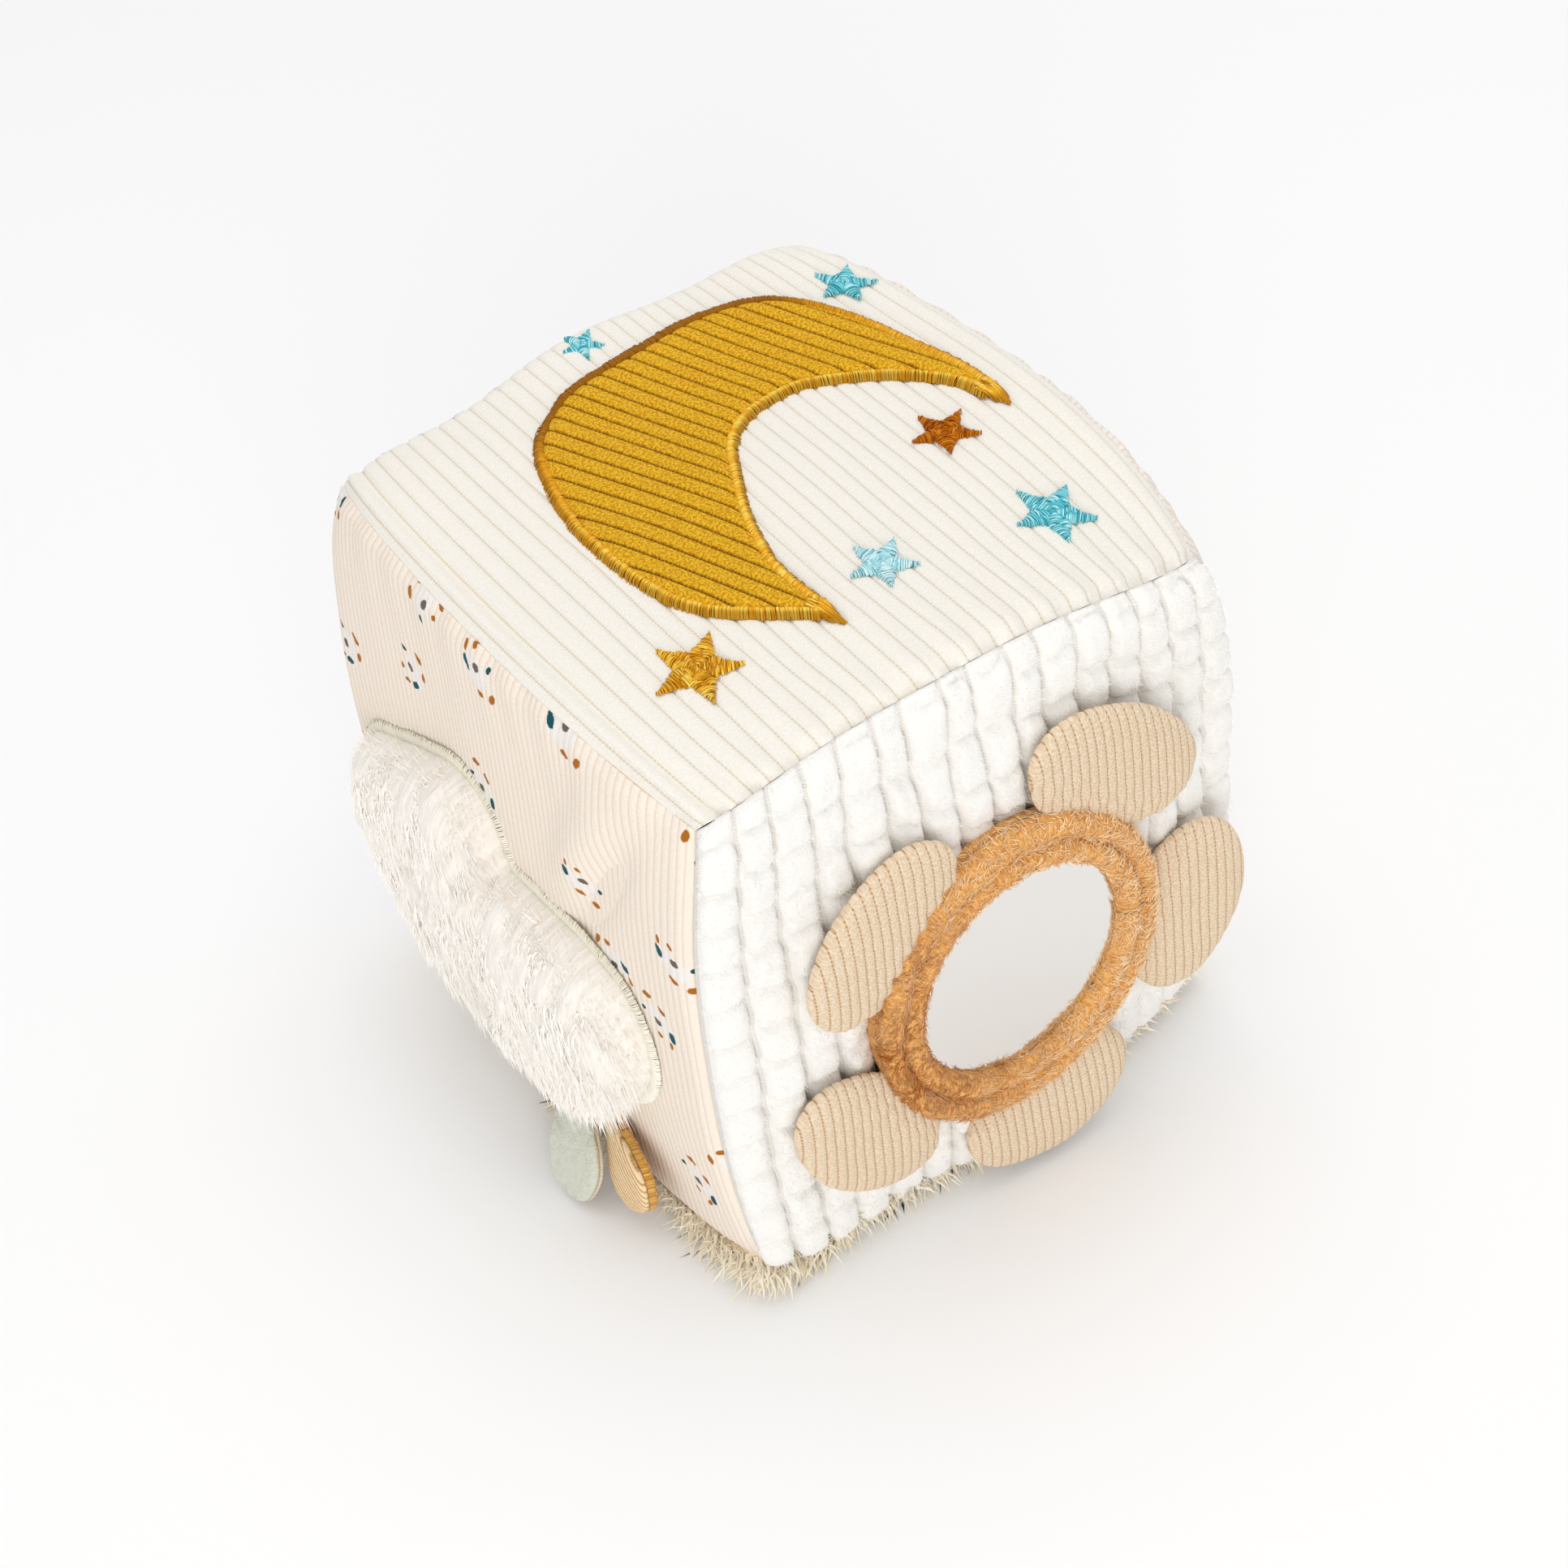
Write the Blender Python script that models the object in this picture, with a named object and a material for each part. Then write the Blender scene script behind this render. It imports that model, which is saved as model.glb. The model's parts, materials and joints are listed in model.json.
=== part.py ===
"""Soft fabric activity block: a stuffed cube with a mirror flower, a moon and a fur cloud.

Metres, +Z up. The origin is the middle of the flat patch that the block stands on.
The mirror flower is on the -Y face, the cloud on the -X face and the moon on top.
"""
import math

import bmesh
import bpy
from mathutils import Matrix, Vector
from mathutils.geometry import interpolate_bezier, intersect_point_line

# The stuffed cube
SIDE = 0.140  # seam to seam
CROWN = 0.009  # how far the middle of a face swells past its seams
EDGE_BOW = 0.003  # how far the middle of a seam bows out
BASE_SAG = 0.001  # how far the base swells before the ground flattens it
CROWN_POWER = 0.6
BOW_POWER = 4.0
SEAM_GAP = 0.0003
LAYER_GAP = 0.0003

# The six fabric panels
PANEL_THICK = 0.002
PLUSH_BACKING = 0.0015
PLUSH_PUFF = 0.0035  # how far the plush puffs stand out
PLUSH_GROOVE = 0.0018  # depth of the channels between the columns of puffs
PLUSH_RIM_SHARE = 0.45  # of the puff, where it meets the seam
PLUSH_RIM_POWER = 8.0  # how late the puffs are drawn in
PLUSH_COLUMN = 0.00875
BASE_PILE = 0.004
BASE_RIM_SHARE = 0.25  # of the pile, where it meets the seam
PANEL_CELLS = 11
PLUSH_ROWS = 11

# The rattle in the filling
RATTLE_RADIUS = 0.019
RATTLE_WALL = 0.0016
RATTLE_LIP = 0.0024  # height of the lip that one shell pushes into the other
RATTLE_FIT = 0.0001
RATTLE_CLEARANCE = 0.0006  # to the filling round it
RATTLE_LIP_WALL = 0.0012
BEAD_RADIUS = 0.0030
BEAD_CLEARANCE = 0.00045  # to the shell that it lies in
BEADS_IN_RING = 5
TURNED_STEPS = 20

# The mirror flower; heights count from the tops of the plush puffs at its middle
FLOWER_DROP = 0.007  # how far the flower's middle lies below the face's
MIRROR_RADIUS = 0.030
MIRROR_THICK = 0.0012
MIRROR_HEIGHT = 0.0050
MIRROR_LAP = 0.0021  # how far the frame's lip laps over the mirror
LIP_OVERLAP = 0.0005  # how far the frame's lip rises before it rounds over
LIP_ARC_END = 145  # degrees of the frame's round top, counted from outside
FRAME_ROLL = 0.0062  # width of the roll that frames the mirror
FRAME_ROLL_HEIGHT = 0.0080
RIM_ROLL = 0.0078  # width of the roll outside it
RIM_ROLL_HEIGHT = 0.0078
RING_STEPS = 36
ROLL_ARC_POINTS = 6
SEAT_DEPTH = 0.006  # how far a roll's sides run down before the face cuts them

PETAL_LENGTH = 0.0245
PETAL_HALF_WIDTH = 0.0232
PETAL_HEIGHT = 0.0036  # of its middle layer
PETAL_THICK = 0.0056
PETAL_EDGE = 0.0018
PETAL_EDGE_RUN = 0.0065  # how far in from its edge a petal reaches its full thickness
PETAL_GAP = 0.0010  # to the roll that it is sewn to
PETAL_ROOT_HALF_WIDTH = 0.0205
PETAL_ROOT_SHARES = (0.2, 0.6, 1.0)  # of the root's half width
PETAL_SIDE_SHARES = ((0.16, 0.96), (0.42, 1.0), (0.70, 0.86), (0.91, 0.50), (1.0, 0.0))
# Name, direction round the flower and outward tilt, in degrees
PETALS = (
    ("petal_upper_right", 50, 0),
    ("petal_upper_left", 137, 0),
    ("petal_lower_left", 212, 0),
    ("petal_bottom", 279, 14),
    ("petal_right", 343, 14),
)

# The moon and stars on the top face; places are shares of half a side
APPLIQUE_THICK = 0.0014
BORDER_WIDTH = 0.0036
BORDER_THICK = 0.0016
BORDER_EDGE = 0.0006
BORDER_TIP_REACH = 2.2  # how far a border runs past a sharp tip, in border widths
MOON_SHARES = (
    (-0.21, -0.62), (-0.45, -0.40), (-0.54, -0.13), (-0.54, 0.19), (-0.45, 0.54),
    (-0.25, 0.73), (0.06, 0.79), (0.35, 0.82), (0.59, 0.76), (0.73, 0.57),
    (0.79, 0.29), (0.815, 0.06), (0.825, -0.10), (0.775, 0.05), (0.61, 0.225),
    (0.345, 0.335), (0.065, 0.245), (-0.115, -0.04), (-0.215, -0.345),
)
MOON_TIPS = (0, 12)
STAR_RADIUS = 0.0100
STAR_THICK = 0.0009
STAR_EDGE = 0.0005
STAR_POINTS = 5
STAR_WAIST_SHARE = 0.45
# Name, place, turn in degrees, share of the radius and colour
STARS = (
    ("star_gold", (-0.66, -0.61), 20, 1.0, (0.72, 0.42, 0.03)),
    ("star_brown", (0.61, -0.21), 10, 0.8, (0.38, 0.16, 0.01)),
    ("star_light_blue", (0.06, -0.57), 14, 0.8, (0.35, 0.66, 0.78)),
    ("star_teal_front", (0.63, -0.73), 16, 0.92, (0.10, 0.50, 0.58)),
    ("star_teal_corner", (0.865, 0.73), 24, 0.74, (0.06, 0.42, 0.50)),
    ("star_teal_back", (0.0, 0.925), 14, 0.48, (0.06, 0.42, 0.50)),
)

# The fur cloud on the left face; across runs to the front
CLOUD_SHARES = (
    (-0.80, -0.36), (-0.88, -0.12), (-0.80, 0.12), (-0.60, 0.24), (-0.42, 0.33),
    (-0.20, 0.41), (-0.03, 0.34), (0.06, 0.16), (0.28, 0.16), (0.48, 0.15),
    (0.67, 0.08), (0.75, -0.10), (0.72, -0.30), (0.58, -0.50), (0.38, -0.62),
    (0.10, -0.655), (-0.20, -0.66), (-0.50, -0.64), (-0.70, -0.54),
)
CLOUD_NOTCH = (7,)
CLOUD_MIDDLE_SHARES = (-0.05, -0.20)
CLOUD_EDGE = 0.0040
CLOUD_PILE = 0.0125
CLOUD_EDGE_RUN = 0.011  # how far in from its edge the pile reaches its full height
CLOUD_TUFT_SHARES = ((-0.27, -0.04), (0.03, -0.31))
CLOUD_TUFT_RADIUS = 0.012
CLOUD_TUFT_DEPTH = 0.005

# The raindrop tabs under the cloud
DROP_LENGTH = 0.0262
DROP_HALF_WIDTH = 0.0087
DROP_ROOT_HALF_WIDTH = 0.0045
DROP_LAYER = 0.0014
DROP_SIDE_SHARES = ((0.25, 0.58), (0.48, 0.90), (0.68, 1.0), (0.90, 0.66), (1.0, 0.0))
DROP_ROOT_GAP = 0.0003
# Name, place, turn towards the front and outward splay in degrees, colours of face and back
DROPS = (
    ("raindrop_sage", (0.17, -0.735), 32, 36, (0.62, 0.68, 0.60), (0.75, 0.72, 0.62)),
    ("raindrop_tan", (0.43, -0.715), 45, 6, (0.72, 0.55, 0.36), (0.72, 0.42, 0.08)),
)

SMOOTH_STEPS = 3
EDGE_LOOP_SHARES = (0.3, 0.9)  # of the run over which padding rounds over
INVERSION_ROUNDS = 6
SAME_PLACE = 1e-6
MERGE_DISTANCE = 0.00003
SMOOTH_ANGLE = math.radians(40)

HALF = SIDE / 2
SEAM_SHIFT = SEAM_GAP / math.sqrt(2)
CENTRE_HEIGHT = (HALF + BASE_SAG) * (1 + BASE_PILE / HALF) + SEAM_SHIFT
CORE_LIFT = SEAM_SHIFT - PANEL_THICK - LAYER_GAP
PUFF_TOP = HALF + CROWN + PLUSH_PUFF + SEAM_SHIFT
WINDOW_RADIUS = MIRROR_RADIUS - MIRROR_LAP

# Each face's directions: across, up and out, seen from outside
FACES = {
    "top": ((1, 0, 0), (0, 1, 0), (0, 0, 1)),
    "base": ((1, 0, 0), (0, -1, 0), (0, 0, -1)),
    "front": ((1, 0, 0), (0, 0, 1), (0, -1, 0)),
    "back": ((-1, 0, 0), (0, 0, 1), (0, 1, 0)),
    "left": ((0, -1, 0), (0, 0, 1), (-1, 0, 0)),
    "right": ((0, 1, 0), (0, 0, 1), (1, 0, 0)),
}


def clear_scene():
    for item in list(bpy.data.objects):
        bpy.data.objects.remove(item, do_unlink=True)


def new_collection(name):
    collection = bpy.data.collections.new(name)
    bpy.context.scene.collection.children.link(collection)
    return collection


def new_material(name, colour, roughness, metallic=0.0):
    material = bpy.data.materials.new(name)
    material.use_nodes = True
    shader = material.node_tree.nodes["Principled BSDF"]
    shader.inputs["Base Color"].default_value = (*colour, 1)
    shader.inputs["Roughness"].default_value = roughness
    shader.inputs["Metallic"].default_value = metallic
    material.diffuse_color = (*colour, 1)
    return material


def new_empty(name, parent, location=(0, 0, 0)):
    empty = bpy.data.objects.new(name, None)
    PARTS.objects.link(empty)
    empty.parent = parent
    empty.location = location
    return empty


def new_part(name, bm, material, parent):
    """Turns the bmesh into a shaded object under its parent."""
    bmesh.ops.recalc_face_normals(bm, faces=bm.faces[:])
    if bm.calc_volume(signed=True) < 0:
        bmesh.ops.reverse_faces(bm, faces=bm.faces[:])
    mesh = bpy.data.meshes.new(name)
    bm.to_mesh(mesh)
    bm.free()
    mesh.shade_smooth()
    mesh.set_sharp_from_angle(angle=SMOOTH_ANGLE)
    mesh.materials.append(material)
    part = bpy.data.objects.new(name, mesh)
    PARTS.objects.link(part)
    part.parent = parent
    return part


def spread(share):
    """Crowds even shares towards both ends, where a face curves most."""
    return math.sin(share * math.pi / 2)


def crowned(across, up):
    """Point on a crowned face in its own directions; across and up run from -1 to 1."""
    fall = max(0.0, (1 - across**2) * (1 - up**2))
    bow_across = EDGE_BOW * (1 - up**2) * abs(across) ** BOW_POWER
    bow_up = EDGE_BOW * (1 - across**2) * abs(up) ** BOW_POWER
    height = HALF + CROWN * fall**CROWN_POWER + bow_across + bow_up
    return Vector((across * (HALF + bow_across), up * (HALF + bow_up), height))


def cushion_point(face, across, up, lift):
    """Point of the stuffed cube about its centre, flat where it stands, grown outwards by lift."""
    right, upward, out = (Vector(axis) for axis in FACES[face])
    local = crowned(across, up)
    point = right * local.x + upward * local.y + out * local.z
    point.z = max(point.z, -(HALF + BASE_SAG))
    return point * (1 + lift / HALF)


def panel_point(face, across, up, lift):
    """The same for a panel, which stands off its neighbours by the seam's gap."""
    return cushion_point(face, across, up, lift) + Vector(FACES[face][2]) * SEAM_SHIFT


def face_height(across_place, up_place, lift):
    """Height over the cube's centre of a crowned face under a place on it, grown by lift."""
    scale = 1 + lift / HALF
    across, up = across_place / HALF, up_place / HALF
    for _ in range(INVERSION_ROUNDS):
        point = crowned(across, up) * scale
        across += (across_place - point.x) / HALF
        up += (up_place - point.y) / HALF
    return crowned(across, up).z * scale + SEAM_SHIFT


def smooth_outline(points, corners=()):
    """Closed outline through the points, round everywhere but at the numbered corners."""
    outline = []
    count = len(points)
    for index in range(count):
        start, end = Vector(points[index]), Vector(points[(index + 1) % count])
        before = start if index in corners else Vector(points[index - 1])
        after = end if (index + 1) % count in corners else Vector(points[(index + 2) % count])
        leave = start + (end - before) / 6
        arrive = end - (after - start) / 6
        outline += interpolate_bezier(start, leave, arrive, end, SMOOTH_STEPS + 1)[:-1]
    return outline


def grown_outline(outline, distance):
    """The outline moved outwards, with its sharp tips drawn out."""
    grown = []
    for index, point in enumerate(outline):
        ahead = (outline[(index + 1) % len(outline)] - point).normalized()
        behind = (point - outline[index - 1]).normalized()
        normal = Vector((ahead.y + behind.y, -ahead.x - behind.x)).normalized()
        slant = max(normal.dot(Vector((ahead.y, -ahead.x))), 1 / BORDER_TIP_REACH)
        grown.append(point + normal * distance / slant)
    return grown


def anticlockwise(outline):
    area = sum(a.cross(b) for a, b in zip(outline, outline[1:] + outline[:1]))
    return outline if area > 0 else outline[::-1]


def cut_on_line(bm, direction, share):
    """Cuts flat faces along one line across a direction."""
    axis = Vector(direction)
    geometry = bm.verts[:] + bm.edges[:] + bm.faces[:]
    bmesh.ops.bisect_plane(
        bm, geom=geometry, plane_co=axis * share, plane_no=axis, dist=SAME_PLACE,
    )


def cut_on_panel_lines(bm):
    """Cuts flat faces along the panel's own cell lines, so that they bend with it."""
    for index in range(1, PANEL_CELLS):
        share = spread(2 * index / PANEL_CELLS - 1)
        cut_on_line(bm, (1, 0, 0), share)
        cut_on_line(bm, (0, 1, 0), share)


def edge_distance(place, outline):
    """Distance of a flat place from the nearest stretch of an outline."""
    nearest = []
    for start, end in zip(outline, outline[1:] + outline[:1]):
        foot, share = intersect_point_line(place, start, end)
        foot = start if share < 0 else end if share > 1 else foot.xy
        nearest.append((place - foot).length)
    return min(nearest)


def rounded(distance, run, edge, full):
    """Height that rises from edge to full like a quarter round over a run."""
    share = min(1.0, distance / run)
    return edge + (full - edge) * math.sqrt(1 - (1 - share) ** 2)


def padded_sheet(outline, run, middle):
    """Flat sheet with two more loops of points near its edge, where padding rounds over."""
    bm = bmesh.new()
    loops = []
    for share in (0.0, *EDGE_LOOP_SHARES):
        drawn_in = (point + (Vector(middle) - point).normalized() * run * share for point in outline)
        loops.append([bm.verts.new((point.x, point.y, 0)) for point in drawn_in])
    for outer, inner in zip(loops, loops[1:]):
        for index in range(len(outline)):
            bm.faces.new((outer[index - 1], outer[index], inner[index], inner[index - 1]))
    bm.faces.new(loops[-1])
    return bm


def thicken(bm):
    """Doubles a flat sheet into a slab and returns the points of its upper side."""
    skin = bmesh.ops.extrude_face_region(bm, geom=bm.faces[:])
    return {item for item in skin["geom"] if isinstance(item, bmesh.types.BMVert)}


def panel(name, face, cells, inner_lift, outer_lift, material, place=spread):
    """One side of the cube's cover, as a slab between two lifts."""
    bm = bmesh.new()
    bmesh.ops.create_grid(bm, x_segments=cells[0], y_segments=cells[1], size=1)
    outside = thicken(bm)
    for vert in bm.verts:
        across, up = place(vert.co.x), spread(vert.co.y)
        lift = outer_lift(across, up) if vert in outside else inner_lift
        vert.co = panel_point(face, across, up, lift)
    return new_part(name, bm, material, BLOCK)


def plush_lift(across, up):
    """Columns of puffs with channels between them, drawn in at the seams."""
    column = across * HALF / PLUSH_COLUMN
    channel = PLUSH_GROOVE * (0.5 + 0.5 * math.cos(2 * math.pi * column))
    rim = max(abs(across), abs(up)) ** PLUSH_RIM_POWER
    return (PLUSH_PUFF - channel) * (1 - (1 - PLUSH_RIM_SHARE) * rim)


def build_panels():
    def bare(across, up):
        return 0.0

    def pile(across, up):
        at_rim = max(abs(across), abs(up)) > 1 - SAME_PLACE
        return BASE_PILE * BASE_RIM_SHARE if at_rim else BASE_PILE

    cells = (PANEL_CELLS, PANEL_CELLS)
    cream = new_material("cream_corduroy", (0.93, 0.88, 0.78), 0.9)
    peach = new_material("printed_velour", (0.90, 0.78, 0.66), 0.9)
    pink = new_material("pale_pink_velour", (0.92, 0.84, 0.78), 0.9)
    lavender = new_material("pale_lavender_velour", (0.82, 0.82, 0.90), 0.9)
    plush = new_material("white_plush", (0.93, 0.93, 0.92), 1.0)
    fur = new_material("cream_fur", (0.86, 0.80, 0.68), 1.0)
    panel("top_panel", "top", cells, -PANEL_THICK, bare, cream)
    panel("left_panel", "left", cells, -PANEL_THICK, bare, peach)
    panel("right_panel", "right", cells, -PANEL_THICK, bare, pink)
    panel("back_panel", "back", cells, -PANEL_THICK, bare, lavender)
    panel("base_panel", "base", cells, -PANEL_THICK, pile, fur)
    columns = 2 * round(SIDE / PLUSH_COLUMN)
    panel(
        "front_panel", "front", (columns, PLUSH_ROWS), -PLUSH_BACKING, plush_lift, plush,
        place=float,
    )


def turned(profile, axis_steps):
    """Solid of revolution about Z from points (radius, height), closed if they are."""
    bm = bmesh.new()
    verts = [bm.verts.new((radius, 0, height)) for radius, height in profile]
    edges = [bm.edges.new(pair) for pair in zip(verts, verts[1:])]
    if profile[0][0] > 0:
        edges.append(bm.edges.new((verts[-1], verts[0])))
    bmesh.ops.spin(
        bm, geom=verts + edges, axis=(0, 0, 1), cent=(0, 0, 0), angle=2 * math.pi,
        steps=axis_steps, use_merge=True,
    )
    bmesh.ops.remove_doubles(bm, verts=bm.verts[:], dist=MERGE_DISTANCE)
    return bm


def arc(centre, radius, start, end, count):
    """Points of an arc; angles in degrees."""
    angles = (math.radians(start + (end - start) * step / (count - 1)) for step in range(count))
    return [(centre[0] + radius * math.cos(a), centre[1] + radius * math.sin(a)) for a in angles]


def build_filling():
    """Fibre filling in two halves, parted at the rattle, each with half of its hollow."""
    fibre = new_material("fibre_filling", (0.95, 0.95, 0.95), 1.0)
    hollow = bpy.data.objects.new("rattle_hollow", bpy.data.meshes.new("rattle_hollow"))
    bm = bmesh.new()
    bmesh.ops.create_uvsphere(
        bm, u_segments=TURNED_STEPS, v_segments=TURNED_STEPS // 2,
        radius=RATTLE_RADIUS + RATTLE_CLEARANCE,
    )
    bm.to_mesh(hollow.data)
    bm.free()
    hollow.hide_render = True
    hollow.display_type = "WIRE"
    CUTTERS.objects.link(hollow)
    hollow.parent = BLOCK
    for name, side in (("filling_upper", 1), ("filling_lower", -1)):
        bm = bmesh.new()
        bmesh.ops.create_cube(bm, size=2)
        bmesh.ops.subdivide_edges(bm, edges=bm.edges[:], cuts=PANEL_CELLS - 1, use_grid_fill=True)
        for vert in bm.verts:
            vert.co = core_point(vert.co)
        cut = bmesh.ops.bisect_plane(
            bm, geom=bm.verts[:] + bm.edges[:] + bm.faces[:], dist=SAME_PLACE,
            plane_co=(0, 0, side * LAYER_GAP / 2), plane_no=(0, 0, -side), clear_outer=True,
        )
        rim = [item for item in cut["geom_cut"] if isinstance(item, bmesh.types.BMEdge)]
        bmesh.ops.contextual_create(bm, geom=rim)
        half = new_part(name, bm, fibre, BLOCK)
        trim = half.modifiers.new("rattle_hollow", "BOOLEAN")
        trim.operation = "DIFFERENCE"
        trim.object = hollow


def core_point(corner):
    """Moves a point of a two unit cube to the outside of the filling."""
    for face, (right, upward, out) in FACES.items():
        if corner.dot(Vector(out)) > 1 - SAME_PLACE:
            across, up = corner.dot(Vector(right)), corner.dot(Vector(upward))
            return cushion_point(face, spread(across), spread(up), CORE_LIFT)
    raise ValueError("the point is inside the cube")


def build_rattle():
    """Two snap-together shells, the lip of the lower one inside the upper, and loose beads."""
    plastic = new_material("rattle_plastic", (0.85, 0.85, 0.85), 0.4)
    bead_plastic = new_material("bead_plastic", (0.75, 0.30, 0.20), 0.35)
    inner = RATTLE_RADIUS - RATTLE_WALL
    middle = RATTLE_RADIUS - RATTLE_WALL / 2
    points = TURNED_STEPS // 3
    parting = LAYER_GAP / 2
    outer_angle = math.degrees(math.asin(parting / RATTLE_RADIUS))
    lip_outer = middle - RATTLE_FIT
    lip_inner = lip_outer - RATTLE_LIP_WALL
    lip_angle = math.degrees(math.acos(lip_inner / inner))
    lower = arc((0, 0), RATTLE_RADIUS, -90, -outer_angle, points)
    lower += [(lip_outer, -parting), (lip_outer, RATTLE_LIP), (lip_inner, RATTLE_LIP)]
    lower += arc((0, 0), inner, -lip_angle, -90, points)
    new_part("rattle_lower_shell", turned(lower, TURNED_STEPS), plastic, BLOCK)
    lip_top = RATTLE_LIP + LAYER_GAP
    top_angle = math.degrees(math.asin(lip_top / inner))
    upper = arc((0, 0), RATTLE_RADIUS, 90, outer_angle, points)
    upper += [(middle, parting), (middle, lip_top)]
    upper += arc((0, 0), inner, top_angle, 90, points)
    new_part("rattle_upper_shell", turned(upper, TURNED_STEPS), plastic, BLOCK)
    reach = inner - BEAD_RADIUS - BEAD_CLEARANCE
    # The beads in the ring just clear the one in the middle
    tilt = 2 * math.asin((BEAD_RADIUS + LAYER_GAP) / reach)
    places = [Vector((0, 0, -reach))]
    for index in range(BEADS_IN_RING):
        turn = 2 * math.pi * index / BEADS_IN_RING
        out = reach * math.sin(tilt)
        places.append(Vector((out * math.cos(turn), out * math.sin(turn), -reach * math.cos(tilt))))
    for index, place in enumerate(places, start=1):
        bm = bmesh.new()
        bmesh.ops.create_icosphere(bm, subdivisions=2, radius=BEAD_RADIUS)
        bead = new_part(f"rattle_bead_{index}", bm, bead_plastic, BLOCK)
        bead.location = place


def crest_height(x, y):
    """Height of the plush puffs at a place of the flower, from their tops at its middle."""
    return face_height(x, y - FLOWER_DROP, PLUSH_PUFF) - PUFF_TOP + FLOWER_SINK


def seat_on_plush(bm):
    """Ends a flower piece on the plush, where its sides would run into it."""
    for vert in bm.verts:
        vert.co.z = max(vert.co.z, crest_height(vert.co.x, vert.co.y) + LAYER_GAP)


def roll_profile(inner, width, height):
    """Section of a stuffed roll: straight sides that run down to the face, and a round top."""
    radius = width / 2
    top = arc((inner + radius, height - radius), radius, 0, 180, ROLL_ARC_POINTS)
    return [(inner + width, -SEAT_DEPTH)] + top + [(inner, -SEAT_DEPTH)]


def build_flower():
    """Mirror on a pad, held by the lip of the frame roll, with a second roll round it."""
    silver = new_material("mirror_film", (0.85, 0.86, 0.87), 0.08, 1.0)
    wadding = new_material("mirror_pad", (0.88, 0.86, 0.82), 1.0)
    plush = new_material("camel_plush", (0.72, 0.48, 0.26), 0.95)
    mirror_back = MIRROR_HEIGHT - MIRROR_THICK
    mirror = bmesh.new()
    bmesh.ops.create_cone(
        mirror, cap_ends=True, segments=RING_STEPS, radius1=MIRROR_RADIUS,
        radius2=MIRROR_RADIUS, depth=MIRROR_THICK,
        matrix=Matrix.Translation((0, 0, MIRROR_HEIGHT - MIRROR_THICK / 2)),
    )
    new_part("mirror", mirror, silver, FLOWER)
    pad = turned(
        [(0, mirror_back - LAYER_GAP), (MIRROR_RADIUS, mirror_back - LAYER_GAP),
         (MIRROR_RADIUS, -SEAT_DEPTH), (MIRROR_RADIUS / 2, -SEAT_DEPTH), (0, -SEAT_DEPTH)],
        RING_STEPS,
    )
    seat_on_plush(pad)
    new_part("mirror_pad", pad, wadding, FLOWER)
    pocket = MIRROR_RADIUS + LAYER_GAP
    lip = MIRROR_HEIGHT + LAYER_GAP
    frame_outer = WINDOW_RADIUS + FRAME_ROLL
    top = arc(
        (WINDOW_RADIUS + FRAME_ROLL / 2, FRAME_ROLL_HEIGHT - FRAME_ROLL / 2), FRAME_ROLL / 2,
        0, LIP_ARC_END, ROLL_ARC_POINTS,
    )
    frame = [(frame_outer, -SEAT_DEPTH)] + top
    frame += [(WINDOW_RADIUS, lip + LIP_OVERLAP), (WINDOW_RADIUS + LIP_OVERLAP, lip)]
    frame += [(pocket, lip), (pocket, -SEAT_DEPTH)]
    frame = turned(frame, RING_STEPS)
    seat_on_plush(frame)
    new_part("frame_roll", frame, plush, FLOWER)
    rim = turned(roll_profile(frame_outer + LAYER_GAP, RIM_ROLL, RIM_ROLL_HEIGHT), RING_STEPS)
    seat_on_plush(rim)
    new_part("rim_roll", rim, plush, FLOWER)
    build_petals(frame_outer + LAYER_GAP + RIM_ROLL)


def petal_outline(ring_radius, hinge_radius):
    """Half moon that follows the ring at its root and rounds off at its tip."""
    swing = ring_radius + PETAL_GAP
    half = []
    for share in PETAL_ROOT_SHARES:
        across = PETAL_ROOT_HALF_WIDTH * share
        half.append(Vector((math.sqrt(swing**2 - across**2) - hinge_radius, across)))
    half += [Vector((PETAL_LENGTH * s, PETAL_HALF_WIDTH * w)) for s, w in PETAL_SIDE_SHARES]
    tip = len(half) - 1
    corner = len(PETAL_ROOT_SHARES) - 1
    mirrored = [Vector((point.x, -point.y)) for point in half[:tip]]
    return anticlockwise(smooth_outline(half + mirrored[::-1], corners=(corner, 2 * tip - corner)))


def padded_slab(outline, thick, edge, run, middle):
    """Pillow-edged slab about the outline's plane."""
    bm = padded_sheet(outline, run, middle)
    upper = thicken(bm)
    for vert in bm.verts:
        half = rounded(edge_distance(vert.co.xy, outline), run, edge, thick) / 2
        vert.co.z = half if vert in upper else -half
    return bm


def build_petals(ring_radius):
    """Padded corduroy petals, each hinged along its stitches at the ring."""
    corduroy = new_material("tan_corduroy", (0.80, 0.66, 0.48), 0.9)
    hinge_radius = ring_radius + PETAL_GAP
    outline = petal_outline(ring_radius, hinge_radius)
    for name, direction, tilt in PETALS:
        turn = math.radians(direction)
        place = Vector((math.cos(turn), math.sin(turn), 0)) * hinge_radius
        hinge = new_empty(name + "_hinge", FLOWER, place + Vector((0, 0, PETAL_HEIGHT)))
        hinge.rotation_euler = (0, -math.radians(tilt), turn)
        middle = (PETAL_LENGTH / 2, 0)
        bm = padded_slab(outline, PETAL_THICK, PETAL_EDGE, PETAL_EDGE_RUN, middle)
        new_part(name, bm, corduroy, hinge)


def draped_slab(outline, face, lift, thick):
    """Applique of even thickness that lies on a crowned face."""
    bm = bmesh.new()
    bm.faces.new([bm.verts.new((point.x, point.y, 0)) for point in outline])
    cut_on_panel_lines(bm)
    upper = thicken(bm)
    for vert in bm.verts:
        height = lift + thick if vert in upper else lift
        vert.co = panel_point(face, vert.co.x, vert.co.y, height)
    return bm


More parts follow.
